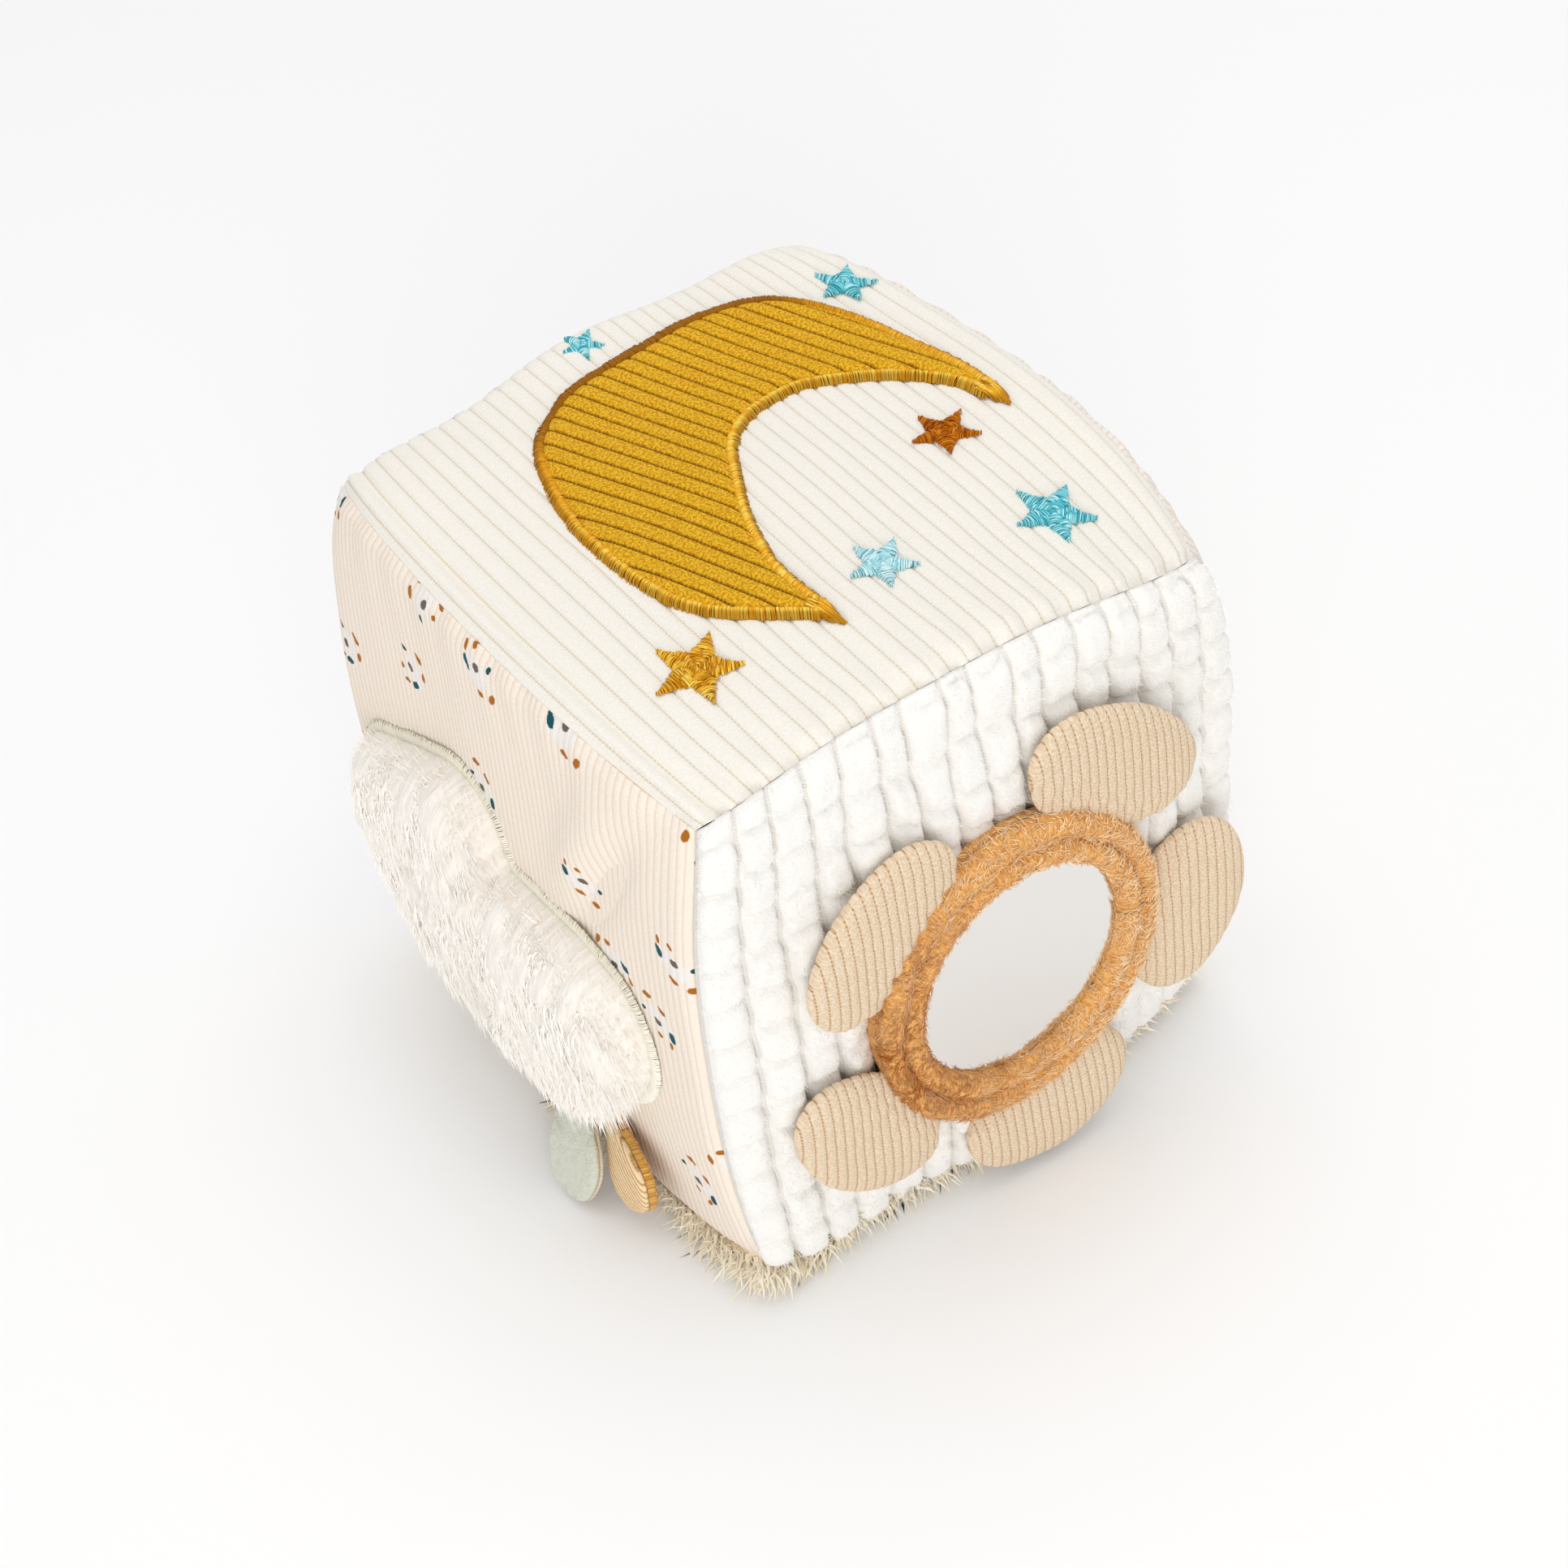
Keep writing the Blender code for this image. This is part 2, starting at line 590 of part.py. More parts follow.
def draped_border(outline, face, lift):
    """Bead of satin stitch that runs round an outline on a crowned face."""
    bm = bmesh.new()
    rings = []
    steps = ((LAYER_GAP, BORDER_EDGE), (BORDER_WIDTH / 2, BORDER_THICK), (BORDER_WIDTH, BORDER_EDGE))
    for distance, height in steps:
        grown = grown_outline(outline, distance / HALF)
        rings.append([bm.verts.new((point.x, point.y, height)) for point in grown])
    for inner, outer in zip(rings, rings[1:]):
        for index in range(len(outline)):
            bm.faces.new((inner[index - 1], outer[index - 1], outer[index], inner[index]))
    upper = thicken(bm)
    for vert in bm.verts:
        height = lift + vert.co.z if vert in upper else lift
        vert.co = panel_point(face, vert.co.x, vert.co.y, height)
    return bm


def build_moon():
    """Corduroy crescent with a satin border."""
    mustard = new_material("mustard_corduroy", (0.72, 0.42, 0.06), 0.85)
    gold = new_material("gold_satin", (0.62, 0.36, 0.02), 0.45)
    outline = anticlockwise(smooth_outline(MOON_SHARES, corners=MOON_TIPS))
    new_part("moon", draped_slab(outline, "top", LAYER_GAP, APPLIQUE_THICK), mustard, BLOCK)
    new_part("moon_border", draped_border(outline, "top", LAYER_GAP), gold, BLOCK)


def build_stars():
    """Filled satin stars, a little raised along their middles."""
    for name, place, turn, size_share, colour in STARS:
        satin = new_material(name + "_satin", colour, 0.45)
        bm = bmesh.new()
        outline = []
        for index in range(2 * STAR_POINTS):
            angle = math.radians(turn) + math.pi * index / STAR_POINTS + math.pi / 2
            waist = STAR_WAIST_SHARE if index % 2 else 1
            reach = STAR_RADIUS * size_share * waist / HALF
            outline.append((place[0] + reach * math.cos(angle), place[1] + reach * math.sin(angle)))
        star = bm.faces.new([bm.verts.new((*point, 0)) for point in outline])
        middle = bmesh.ops.poke(bm, faces=[star])["verts"][0].co.copy()
        upper = thicken(bm)
        for vert in bm.verts:
            raised = STAR_THICK if (vert.co - middle).length < SAME_PLACE else STAR_EDGE
            height = LAYER_GAP + raised if vert in upper else LAYER_GAP
            vert.co = panel_point("top", vert.co.x, vert.co.y, height)
        new_part(name, bm, satin, BLOCK)


def cloud_height(place, outline):
    """Height of the pile at a place of the face, drawn in at the two sewn tufts."""
    height = rounded(edge_distance(place, outline) * HALF, CLOUD_EDGE_RUN, CLOUD_EDGE, CLOUD_PILE)
    for tuft in CLOUD_TUFT_SHARES:
        distance = (place - Vector(tuft)).length * HALF / CLOUD_TUFT_RADIUS
        height -= CLOUD_TUFT_DEPTH * max(0.0, 1 - distance**2)
    return height


def build_cloud():
    """Long-pile cloud: a border at its edge, a round shoulder and two sewn tufts."""
    fur = new_material("white_fur", (0.92, 0.90, 0.85), 1.0)
    satin = new_material("pale_green_satin", (0.78, 0.80, 0.68), 0.5)
    outline = anticlockwise(smooth_outline(CLOUD_SHARES, corners=CLOUD_NOTCH))
    bm = padded_sheet(outline, CLOUD_EDGE_RUN / HALF, CLOUD_MIDDLE_SHARES)
    cut_on_panel_lines(bm)
    for across, up in CLOUD_TUFT_SHARES:
        cut_on_line(bm, (1, 0, 0), across)
        cut_on_line(bm, (0, 1, 0), up)
    upper = thicken(bm)
    for vert in bm.verts:
        height = cloud_height(vert.co.xy, outline) if vert in upper else 0
        vert.co = panel_point("left", vert.co.x, vert.co.y, LAYER_GAP + height)
    new_part("cloud_fur", bm, fur, BLOCK)
    new_part("cloud_border", draped_border(outline, "left", LAYER_GAP), satin, BLOCK)


def drop_outline():
    """Raindrop: narrow where it is sewn on, round below."""
    side = [Vector((0, DROP_ROOT_HALF_WIDTH))]
    side += [Vector((DROP_LENGTH * s, DROP_HALF_WIDTH * w)) for s, w in DROP_SIDE_SHARES]
    mirrored = [Vector((point.x, -point.y)) for point in side[:-1]]
    return anticlockwise(smooth_outline(side + mirrored[::-1], corners=(0, 2 * len(side) - 2)))


def build_raindrops():
    """Two-layer tabs that hang from the cloud's lower edge."""
    outline = drop_outline()
    for name, place, turn, splay, face_colour, back_colour in DROPS:
        root = panel_point("left", *place, DROP_ROOT_GAP + DROP_LAYER + LAYER_GAP / 2)
        hinge = new_empty(name + "_hinge", BLOCK, root)
        downward = Vector((0, -math.sin(math.radians(turn)), -math.cos(math.radians(turn))))
        out = Vector((-1, 0, 0))
        sideways = downward.cross(out) * -1
        upright = Matrix((downward, sideways, out)).transposed().to_4x4()
        hinge.rotation_euler = (upright @ Matrix.Rotation(-math.radians(splay), 4, "Y")).to_euler()
        layers = (("face", LAYER_GAP / 2, face_colour), ("back", -LAYER_GAP / 2 - DROP_LAYER, back_colour))
        for layer, bottom, colour in layers:
            cloth = new_material(f"{name}_{layer}", colour, 0.9)
            bm = bmesh.new()
            bm.faces.new([bm.verts.new((point.x, point.y, bottom)) for point in outline])
            for vert in thicken(bm):
                vert.co.z += DROP_LAYER
            new_part(f"{name}_{layer}", bm, cloth, hinge)


clear_scene()
PARTS = new_collection("soft_fabric_block")
CUTTERS = new_collection("cutters")
BLOCK = new_empty("block_centre", None, (0, 0, CENTRE_HEIGHT))
FLOWER_SINK = PUFF_TOP - face_height(0, -FLOWER_DROP, PLUSH_PUFF)
FLOWER = new_empty("flower_middle", BLOCK, (0, FLOWER_SINK - PUFF_TOP, -FLOWER_DROP))
FLOWER.rotation_euler = (math.pi / 2, 0, 0)

build_panels()
build_filling()
build_rattle()
build_flower()
build_moon()
build_stars()
build_cloud()
build_raindrops()
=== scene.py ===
"""Looks of the soft fabric activity block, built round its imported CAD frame.

Metres, +Z up. Cloth, pile and stitches stand for the plain solids; only the rattle stays as it is.
Flat places on a cloth are counted from the middle of its face. UV maps are in millimetres, but
those of fibres and threads hold a random tone and the share of the length.
"""

import json
import math

import bpy
import numpy as np
from mathutils import Matrix, Vector


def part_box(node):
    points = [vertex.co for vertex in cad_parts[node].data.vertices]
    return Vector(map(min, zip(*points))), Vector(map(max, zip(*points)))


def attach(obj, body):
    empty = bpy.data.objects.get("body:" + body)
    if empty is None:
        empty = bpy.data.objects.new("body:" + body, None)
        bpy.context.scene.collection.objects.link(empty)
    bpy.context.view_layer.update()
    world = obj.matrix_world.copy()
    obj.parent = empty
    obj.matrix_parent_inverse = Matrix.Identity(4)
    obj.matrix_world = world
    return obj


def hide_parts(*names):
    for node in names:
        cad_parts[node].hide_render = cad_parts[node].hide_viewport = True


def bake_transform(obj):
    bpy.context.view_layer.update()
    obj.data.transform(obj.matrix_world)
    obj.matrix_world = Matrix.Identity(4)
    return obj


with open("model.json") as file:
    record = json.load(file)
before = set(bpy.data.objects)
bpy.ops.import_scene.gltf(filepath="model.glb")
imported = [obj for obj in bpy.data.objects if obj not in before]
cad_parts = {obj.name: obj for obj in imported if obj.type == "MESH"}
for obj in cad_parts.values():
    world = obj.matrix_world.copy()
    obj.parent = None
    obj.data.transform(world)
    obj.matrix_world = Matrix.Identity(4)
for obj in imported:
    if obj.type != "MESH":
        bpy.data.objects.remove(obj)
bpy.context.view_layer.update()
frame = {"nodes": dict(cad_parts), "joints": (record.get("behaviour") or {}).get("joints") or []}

MM = 0.001
TURN = 2 * math.pi

# The stuffed cube, as in the CAD, and how its cloth is drawn in at the seams and corners
HALF = 0.070
CROWN = 0.009
EDGE_BOW = 0.0055
BASE_SAG = 0.001
BASE_PILE = 0.004
SEAM_SHIFT = 0.0003 / math.sqrt(2)
CENTRE_HEIGHT = (HALF + BASE_SAG) * (1 + BASE_PILE / HALF) + SEAM_SHIFT
SEAM_DIP = 0.0010
SEAM_DIP_WIDTH = 0.0022
CORNER_PULL = 0.0026
COVER_THICK = 0.0012
FLOOR_GAP = 0.0002

# The flower, in its own plane: x to the right, y up, z towards the viewer
MIRROR_HEIGHT = 0.0050
MIRROR_RADIUS = 0.030
MIRROR_THICK = 0.0012
FRAME_ROLL = (0.0287, 0.0062, 0.0080)
RIM_ROLL = (0.0344, 0.0078, 0.0078)
RING_OVAL = (0.97, 1.025)
RING_DROP = 0.0004
ROLL_SINK = 0.0018
ROLL_PILE_SPACING = 0.00078
ROLL_PILE_LENGTH = 0.0027
ROLL_PILE_RADIUS = 0.00017
# Turn about the flower round which the rolls' pile is painted darker, as shade
ROLL_SHADE_SIDE = math.radians(195)
PETAL_HEIGHT = 0.0036
PETAL_THICK = 0.0062
PETAL_RIM_THICK = 0.0004
PETAL_LENGTH = 0.0245
PETAL_EDGE_RUN = 0.0085
PETAL_BEND = 0.004
HINGE_RADIUS = 0.0432
FLOWER_UP = -0.0070
# Name, direction and tilt in degrees, as in the CAD; then how far the cloth is tucked in under the
# rolls in mm, turned about the flower in degrees, and widened
PETALS = (
    ("petal_upper_right", 50, 0, 1.0, 5, 1.14), ("petal_upper_left", 137, 0, 5.5, 0, 1.04),
    ("petal_lower_left", 212, 0, 1.5, 0, 1.06), ("petal_bottom", 279, 14, 2.5, -2, 1.0),
    ("petal_right", 343, 14, 2.5, 3, 1.04),
)
PETAL_HALF_MM = (
    (-6.5, 0), (-5.5, 9), (-2.0, 16.5), (3.9, 22.0), (10.3, 23.2), (17.2, 19.9), (22.2, 11.8),
    (24.5, 0),
)

# Pitches of wales and ribs in mm, where each has its points, and the half widths of its grooves
TOP_WALE = 140 / 33
MOON_WALE = 4.2
PETAL_WALE = 2.4
WALE_PLACES = (0, 0.05, 0.11, 0.2, 0.36, 0.5, 0.64, 0.8, 0.89, 0.95)
WALE_GROOVE = 0.42
RIB = 2.0
STRIPE = 1.5
RIB_PLACES = (0, 0.14, 0.3, 0.5, 0.7, 0.86)
RIB_GROOVE = 0.35
RIB_DEPTH = 0.16
PUFF_COLUMN = 0.00875
PUFF_ROW = 0.0112
PUFF_WIDTH = 0.88
PUFF = 0.0034

# Outlines and places on a face, as shares of half its side
MOON_TURN = math.radians(21)
MOON_THICK = 0.0019
MOON_EDGE_RUN = 0.0035
MOON_UNDER_BORDER = 0.0009
MOON_SHARES = (
    (-0.21, -0.62), (-0.45, -0.40), (-0.54, -0.13), (-0.54, 0.19), (-0.45, 0.54),
    (-0.25, 0.715), (0.06, 0.757), (0.345, 0.778), (0.575, 0.715), (0.715, 0.53),
    (0.78, 0.265), (0.815, 0.06), (0.825, -0.10), (0.775, 0.05), (0.61, 0.225),
    (0.345, 0.335), (0.065, 0.245), (-0.115, -0.04), (-0.215, -0.345),
)
MOON_TIPS = (0, 12)
CLOUD_SHARES = (
    (-0.80, -0.36), (-0.88, -0.12), (-0.80, 0.12), (-0.60, 0.24), (-0.42, 0.33),
    (-0.20, 0.41), (-0.03, 0.34), (0.06, 0.16), (0.28, 0.16), (0.48, 0.15),
    (0.67, 0.08), (0.75, -0.10), (0.72, -0.30), (0.58, -0.50), (0.38, -0.62),
    (0.10, -0.655), (-0.20, -0.66), (-0.50, -0.64), (-0.70, -0.54),
)
CLOUD_NOTCH = (7,)
CLOUD_MIDDLE = (-0.05, -0.20)
CLOUD_TUFTS = ((-0.36, -0.10), (-0.10, -0.42))
# Name, place, turn in degrees and radius
STARS = (
    ("star_gold", (-0.63, -0.57), 20, 0.0100), ("star_brown", (0.60, -0.175), 10, 0.0080),
    ("star_light_blue", (0.06, -0.57), 14, 0.0080),
    ("star_teal_front", (0.635, -0.665), 16, 0.0092),
    ("star_teal_corner", (0.85, 0.64), 24, 0.0068), ("star_teal_back", (-0.04, 0.91), 14, 0.0052),
)
STAR_WAIST = 0.45
STAR_BEND = 0.55

# Stitches: pitches, radii of their threads, and the tone of the padding under them
BORDER_PITCH = 0.00027
BORDER_THREAD = 0.00019
TIP_THREAD = 0.00026
TIP_STITCHES = 46
STAR_PITCH = 0.00022
STAR_THREAD = 0.00017
LONGEST_STITCH = 0.0042
PADDING_TONE = 0.1
PADDING_PROFILE = (
    (0.0, 0.0002), (0.1, 0.5), (0.3, 0.8), (0.5, 0.86), (0.7, 0.8), (0.92, 0.4), (1.0, 0.0002),
    (0.5, 0.0001),
)

# Name, turn to the front, splay from the face and twist in degrees, length against the CAD, then
# bow and shift along the hinge in mm
DROPS = (
    ("raindrop_sage", 48, 24, 25, 1.17, 2.0, 0.0), ("raindrop_tan", 68, 12, 10, 0.96, 2.0, 4.0),
)
DROP_HALF_MM = (
    (-1.0, 5.2), (2.5, 5.6), (6.5, 6.6), (12.6, 8.4), (17.8, 9.0), (23.0, 6.8), (26.2, 0),
)
DROP_BEND = (-0.001, 0.006)

# How the real block is out of square: place, shift and reach, in millimetres from its centre
WARPS = (
    ((-70, 70, 70), (-1.3, 4.5, 4.2), 36), ((0, 76, 74), (0, 2.2, 3.2), 45),
    ((70, 70, 70), (-3.0, 7.5, 6.5), 34), ((76, -72, 0), (-3.2, 0, 0), 42),
    ((-70, -72, -71), (-2.5, -9.5, 0), 30), ((0, -76, -71), (0, -2.6, 0), 36),
    ((-76, 72, 0), (-2.2, 2.2, 0), 42), ((62, -72, 70), (1.0, -1.5, -5.0), 32),
    ((-70, -70, 70), (0, -5.0, 0), 28), ((-38, 76, 74), (0.5, -3.0, -1.8), 22),
)

# Directions to the right, up and out of each face
FACES = {
    "top": ((1, 0, 0), (0, 1, 0), (0, 0, 1)),
    "base": ((1, 0, 0), (0, -1, 0), (0, 0, -1)),
    "front": ((1, 0, 0), (0, 0, 1), (0, -1, 0)),
    "back": ((-1, 0, 0), (0, 0, 1), (0, 1, 0)),
    "left": ((0, -1, 0), (0, 0, 1), (-1, 0, 0)),
    "right": ((0, 1, 0), (0, 0, 1), (1, 0, 0)),
}


# Shapes

def smooth_step(value, low, high):
    share = np.clip((value - low) / (high - low), 0, 1)
    return share * share * (3 - 2 * share)


def bell(distance, reach):
    return np.exp(-((distance / reach) ** 2))


def rounded(share):
    """Quarter round from 0 to 1."""
    return np.sqrt(1 - (1 - np.clip(share, 0, 1)) ** 2)


def noise(x, y, seed):
    """Smooth random relief between -1 and 1 over squares of one unit."""
    table = np.random.default_rng(seed).uniform(-1, 1, (64, 64))
    column, row = np.floor(x).astype(int), np.floor(y).astype(int)
    right, up = smooth_step(x - column, 0, 1), smooth_step(y - row, 0, 1)
    low, high = (
        table[column % 64, level % 64] * (1 - right) + table[(column + 1) % 64, level % 64] * right
        for level in (row, row + 1)
    )
    return low * (1 - up) + high * up


def unit(vectors):
    return vectors / np.maximum(np.linalg.norm(vectors, axis=-1, keepdims=True), 1e-12)


def along_surface(vectors, normal):
    return vectors - normal * np.sum(vectors * normal, 1, keepdims=True)


def turned(x, y, angle):
    """Flat places turned about the origin."""
    return x * np.cos(angle) - y * np.sin(angle), x * np.sin(angle) + y * np.cos(angle)


def crowned(across, up):
    """Height of a crowned face and its places, drawn to the bowed seams."""
    fall = np.clip((1 - across**2) * (1 - up**2), 0, None)
    bow_across = EDGE_BOW * (1 - up**2) * np.abs(across) ** 4
    bow_up = EDGE_BOW * (1 - across**2) * np.abs(up) ** 4
    height = HALF + CROWN * fall**0.6 + bow_across + bow_up
    return across * (HALF + bow_across), up * (HALF + bow_up), height


def cushion(face, across, up, lift=0.0):
    """Points of the stuffed cube, flat where it stands, sunk along its seams and grown by lift."""
    axes = np.array(FACES[face], float)
    points = np.stack(crowned(across, up), -1) @ axes
    points[..., 2] = np.maximum(points[..., 2], -(HALF + BASE_SAG))
    from_rim = (1 - np.maximum(np.abs(across), np.abs(up))) * HALF
    lift = lift - SEAM_DIP * bell(from_rim, SEAM_DIP_WIDTH)
    points = points * (1 + lift / HALF)[..., None]
    corner = np.prod(np.abs(points) / HALF, axis=-1, keepdims=True) ** 6
    shift = -np.sign(points) * CORNER_PULL * corner
    for place, push, reach in WARPS:
        away = np.sum((points / MM - place) ** 2, -1, keepdims=True) / reach**2
        shift += np.array(push) * MM * np.exp(-away)
    return points + shift + (0, 0, CENTRE_HEIGHT)


def on_face(face, x, y, height=0.0):
    """Points over flat places of a face's cloth, raised along its normals, and the normals."""
    arrays = np.broadcast_arrays(x / HALF, y / HALF, height)
    across, up, height = (np.array(array, float) for array in arrays)
    step = 0.004
    a, b = np.clip(across, step - 1, 1 - step), np.clip(up, step - 1, 1 - step)
    along = cushion(face, a + step, b) - cushion(face, a - step, b)
    upward = cushion(face, a, b + step) - cushion(face, a, b - step)
    normal = unit(np.cross(along, upward))
    return cushion(face, across, up) + normal * height[..., None], normal


def pinned(face, places, height):
    """Points over rows of flat places."""
    return on_face(face, *places.T, height)[0]


def outline_area(outline):
    """Area within an outline, negative if it runs clockwise."""
    return np.cross(outline, np.roll(outline, -1, 0)).sum() / 2


def smooth_outline(points, corners=(), steps=8):
    """Closed outline through the points, round everywhere but at the numbered corners."""
    points = np.array(points, float)
    count = len(points)
    share = np.linspace(0, 1, steps, endpoint=False)[:, None]
    outline = []
    for index in range(count):
        start, end = points[index], points[(index + 1) % count]
        before = start if index in corners else points[index - 1]
        after = end if (index + 1) % count in corners else points[(index + 2) % count]
        leave, arrive = start + (end - before) / 6, end - (after - start) / 6
        outline.append(
            start * (1 - share) ** 3 + 3 * leave * share * (1 - share) ** 2
            + 3 * arrive * share**2 * (1 - share) + end * share**3
        )
    outline = np.concatenate(outline)
    return outline if outline_area(outline) > 0 else outline[::-1]


def even_outline(outline, pitch):
    """The outline's points again at an even pitch, with their outward normals."""
    closed = np.vstack([outline, outline[:1]])
    length = np.concatenate([[0], np.cumsum(np.linalg.norm(np.diff(closed, axis=0), axis=1))])
    places = np.linspace(0, length[-1], int(length[-1] / pitch), endpoint=False)
    even = np.stack([np.interp(places, length, closed[:, k]) for k in (0, 1)], 1)
    ahead = unit(np.roll(even, -1, 0) - np.roll(even, 1, 0))
    return even, np.stack([ahead[:, 1], -ahead[:, 0]], 1)


def edge_distance(x, y, outline):
    """Distance of flat places from an outline, negative outside it."""
    nearest = np.full(x.shape, 1e9)
    inside = np.zeros(x.shape, bool)
    for (x0, y0), (x1, y1) in zip(outline, np.roll(outline, -1, 0)):
        dx, dy = x1 - x0, y1 - y0
        share = np.clip(((x - x0) * dx + (y - y0) * dy) / (dx * dx + dy * dy), 0, 1)
        nearest = np.minimum(nearest, np.hypot(x - x0 - share * dx, y - y0 - share * dy))
        if y0 != y1:
            inside ^= ((y0 > y) != (y1 > y)) & (x < dx * (y - y0) / dy + x0)
    return np.where(inside, nearest, -nearest)


def wale_places(first, count, pitch, shares):
    """The same few places on every wale, the first wale being so many pitches from the middle."""
    starts = (np.arange(count) + first) * pitch * MM
    return (starts[:, None] + np.array(shares) * pitch * MM).ravel()


def groove(u, pitch, width):
    """Depth share of the groove between two wales; all in millimetres."""
    return bell(np.abs((u / pitch + 0.5) % 1 - 0.5) * pitch, width)


# Meshes: each shape is its points, its groups of faces with as many corners, and its UVs

def slab(outer, inner, u, v, keep=None):
    """Closed slab between two grids, over the cells to keep; u and v are its flat places."""
    rows, columns = outer.shape[:2]
    index = np.arange(rows * columns).reshape(rows, columns)
    keep = np.ones((rows - 1, columns - 1), bool) if keep is None else keep
    corners = (index[:-1, :-1], index[:-1, 1:], index[1:, 1:], index[1:, :-1])
    cells = np.stack([corner[keep] for corner in corners], 1)
    lower = rows * columns
    quads = [cells, cells[:, ::-1] + lower]
    around = np.pad(keep, 1)
    beyond = (around[:-2, 1:-1], around[1:-1, 2:], around[2:, 1:-1], around[1:-1, :-2])
    for side, neighbour in enumerate(beyond):
        edge = keep & ~neighbour
        start, end = corners[side][edge], corners[(side + 1) % 4][edge]
        quads.append(np.stack([start, start + lower, end + lower, end], 1))
    uv = np.tile(np.stack([u, v], -1).reshape(-1, 2) / MM, (2, 1))
    return np.concatenate([outer, inner]).reshape(-1, 3), [np.concatenate(quads)], uv


def loop_quads(rows, columns):
    """Quads of a grid that is closed in both directions."""
    index = np.arange(rows * columns).reshape(rows, columns)
    ahead, beside = np.roll(index, -1, 0), np.roll(index, -1, 1)
    return np.stack([index, beside, np.roll(ahead, -1, 1), ahead], -1)


def looped(points, u=PADDING_TONE, v=PADDING_TONE):
    """Closed ring of a grid that is closed in both directions."""
    uv = np.stack(np.broadcast_arrays(u, v, points[..., 0])[:2], -1).reshape(-1, 2)
    return points.reshape(-1, 3), [loop_quads(*points.shape[:2]).reshape(-1, 4)], uv


def fanned_slab(outer, inner, flat, capped=False):
    """Closed slab between two sets of rings, which shrink to a point or end in caps."""
    rings, count = outer.shape[:2]
    grid = np.concatenate([outer, inner[::-1]])
    quads = np.delete(loop_quads(len(grid), count), rings - 1, 0).reshape(-1, 4)
    caps = rings * count + np.array([np.arange(-count, 0), np.arange(count)[::-1]])
    uv = np.concatenate([flat, flat[::-1]]).reshape(-1, 2) / MM
    return grid.reshape(-1, 3), [quads, caps] if capped else [quads], uv


def fan(outline, middle, rings):
    """Flat places along straight lines from an outline to a point within it, one ring per share."""
    shares = np.append(1 - np.linspace(0, 1, rings, endpoint=False) ** 1.4, 0.0)
    return middle + (outline[None] - middle) * shares[:, None, None]


def tube_quads(rings, sides):
    """Quads of one fibre or thread, from each ring of points to the next."""
    steps = [(ring * sides, k, (k + 1) % sides) for ring in range(rings - 1) for k in range(sides)]
    return [(low + k, low + sides + k, low + sides + after, low + after) for low, k, after in steps]


def repeated(count, each, *groups):
    """The faces of one fibre or thread, for as many of them, with each its own points."""
    first = (np.arange(count) * each)[:, None, None]
    return [(np.array(group) + first).reshape(-1, len(group[0])) for group in groups]


def fibres(roots, stand, lie, radius, levels, seed, curl=0.0):
    """Tapered fibres above the floor, which leave along stand and end at stand + lie."""
    rng = np.random.default_rng(seed)
    count = len(roots)
    t = np.linspace(0, 1, levels)[:, None]
    reach = stand + lie
    path = roots[:, None] + stand[:, None] * 2 * t * (1 - t) * 0.8 + reach[:, None] * t**2
    side = unit(np.cross(stand, lie) + 1e-9 * rng.normal(size=stand.shape))
    other = unit(np.cross(side, reach))
    if curl:
        turn = rng.uniform(0, TURN, (count, 1, 1)) + t * rng.uniform(5, 9, (count, 1, 1))
        path = path + curl * np.sqrt(t) * np.cos(turn) * side[:, None]
        path = path + curl * np.sqrt(t) * np.sin(turn) * other[:, None]
    size = radius * rng.uniform(0.7, 1.2, (count, 1, 1)) * (1 - t[:-1]) ** 0.6
    rings = []
    for turn in (0, TURN / 3, TURN * 2 / 3):
        around = side * math.cos(turn) + other * math.sin(turn)
        rings.append(path[:, :-1] + size * around[:, None])
    points = np.concatenate([np.stack(rings, 2).reshape(count, -1, 3), path[:, -1:]], 1)
    points[..., 2] = np.maximum(points[..., 2], FLOOR_GAP)
    each = points.shape[1]
    ends = [(0, 1, 2)] + [(each - 4 + k, each - 1, each - 4 + (k + 1) % 3) for k in range(3)]
    along = np.append(np.repeat(t[:-1], 3), 1)
    uv = np.stack(np.broadcast_arrays(rng.uniform(0, 1, (count, 1)), along), -1)
    faces = repeated(count, each, tube_quads(levels - 1, 3), ends)
    return points.reshape(-1, 3), faces, uv.reshape(-1, 2)


def threads(start, end, normal, rise, radius, seed, levels=7, sides=5):
    """Satin stitches: round threads that arch from start to end and dip into the cloth."""
    rng = np.random.default_rng(seed)
    count = len(start)
    t = np.linspace(0, 1, levels)[:, None]
    arch = np.clip(np.sin(math.pi * t), 0, 1) ** 0.55 * 1.25 - 0.25
    path = start[:, None] * (1 - t) + end[:, None] * t
    path = path + normal[:, None] * (rise[:, None, None] * arch)
    side = unit(np.cross(unit(end - start), normal))
    turns = (np.arange(sides) * TURN / sides)[:, None]
    size = radius * rng.uniform(0.85, 1.15, (count, 1, 1, 1))
    around = side[:, None, None] * np.cos(turns) + normal[:, None, None] * np.sin(turns)
    points = path[:, :, None] + size * around
    caps = [range(sides), range(levels * sides - 1, (levels - 1) * sides - 1, -1)]
    tone = rng.uniform(0, 1, (count, 1, 1))
    uv = np.stack(np.broadcast_arrays(tone, t, np.zeros(sides))[:2], -1).reshape(-1, 2)
    faces = repeated(count, levels * sides, tube_quads(levels, sides), caps)
    return points.reshape(-1, 3), faces, uv


def joined(*shapes):
    """One shape from several."""
    points, faces, uvs = zip(*shapes)
    firsts = np.cumsum([0, *map(len, points)])
    faces = [group + first for groups, first in zip(faces, firsts) for group in groups]
    return np.concatenate(points), faces, np.concatenate(uvs)


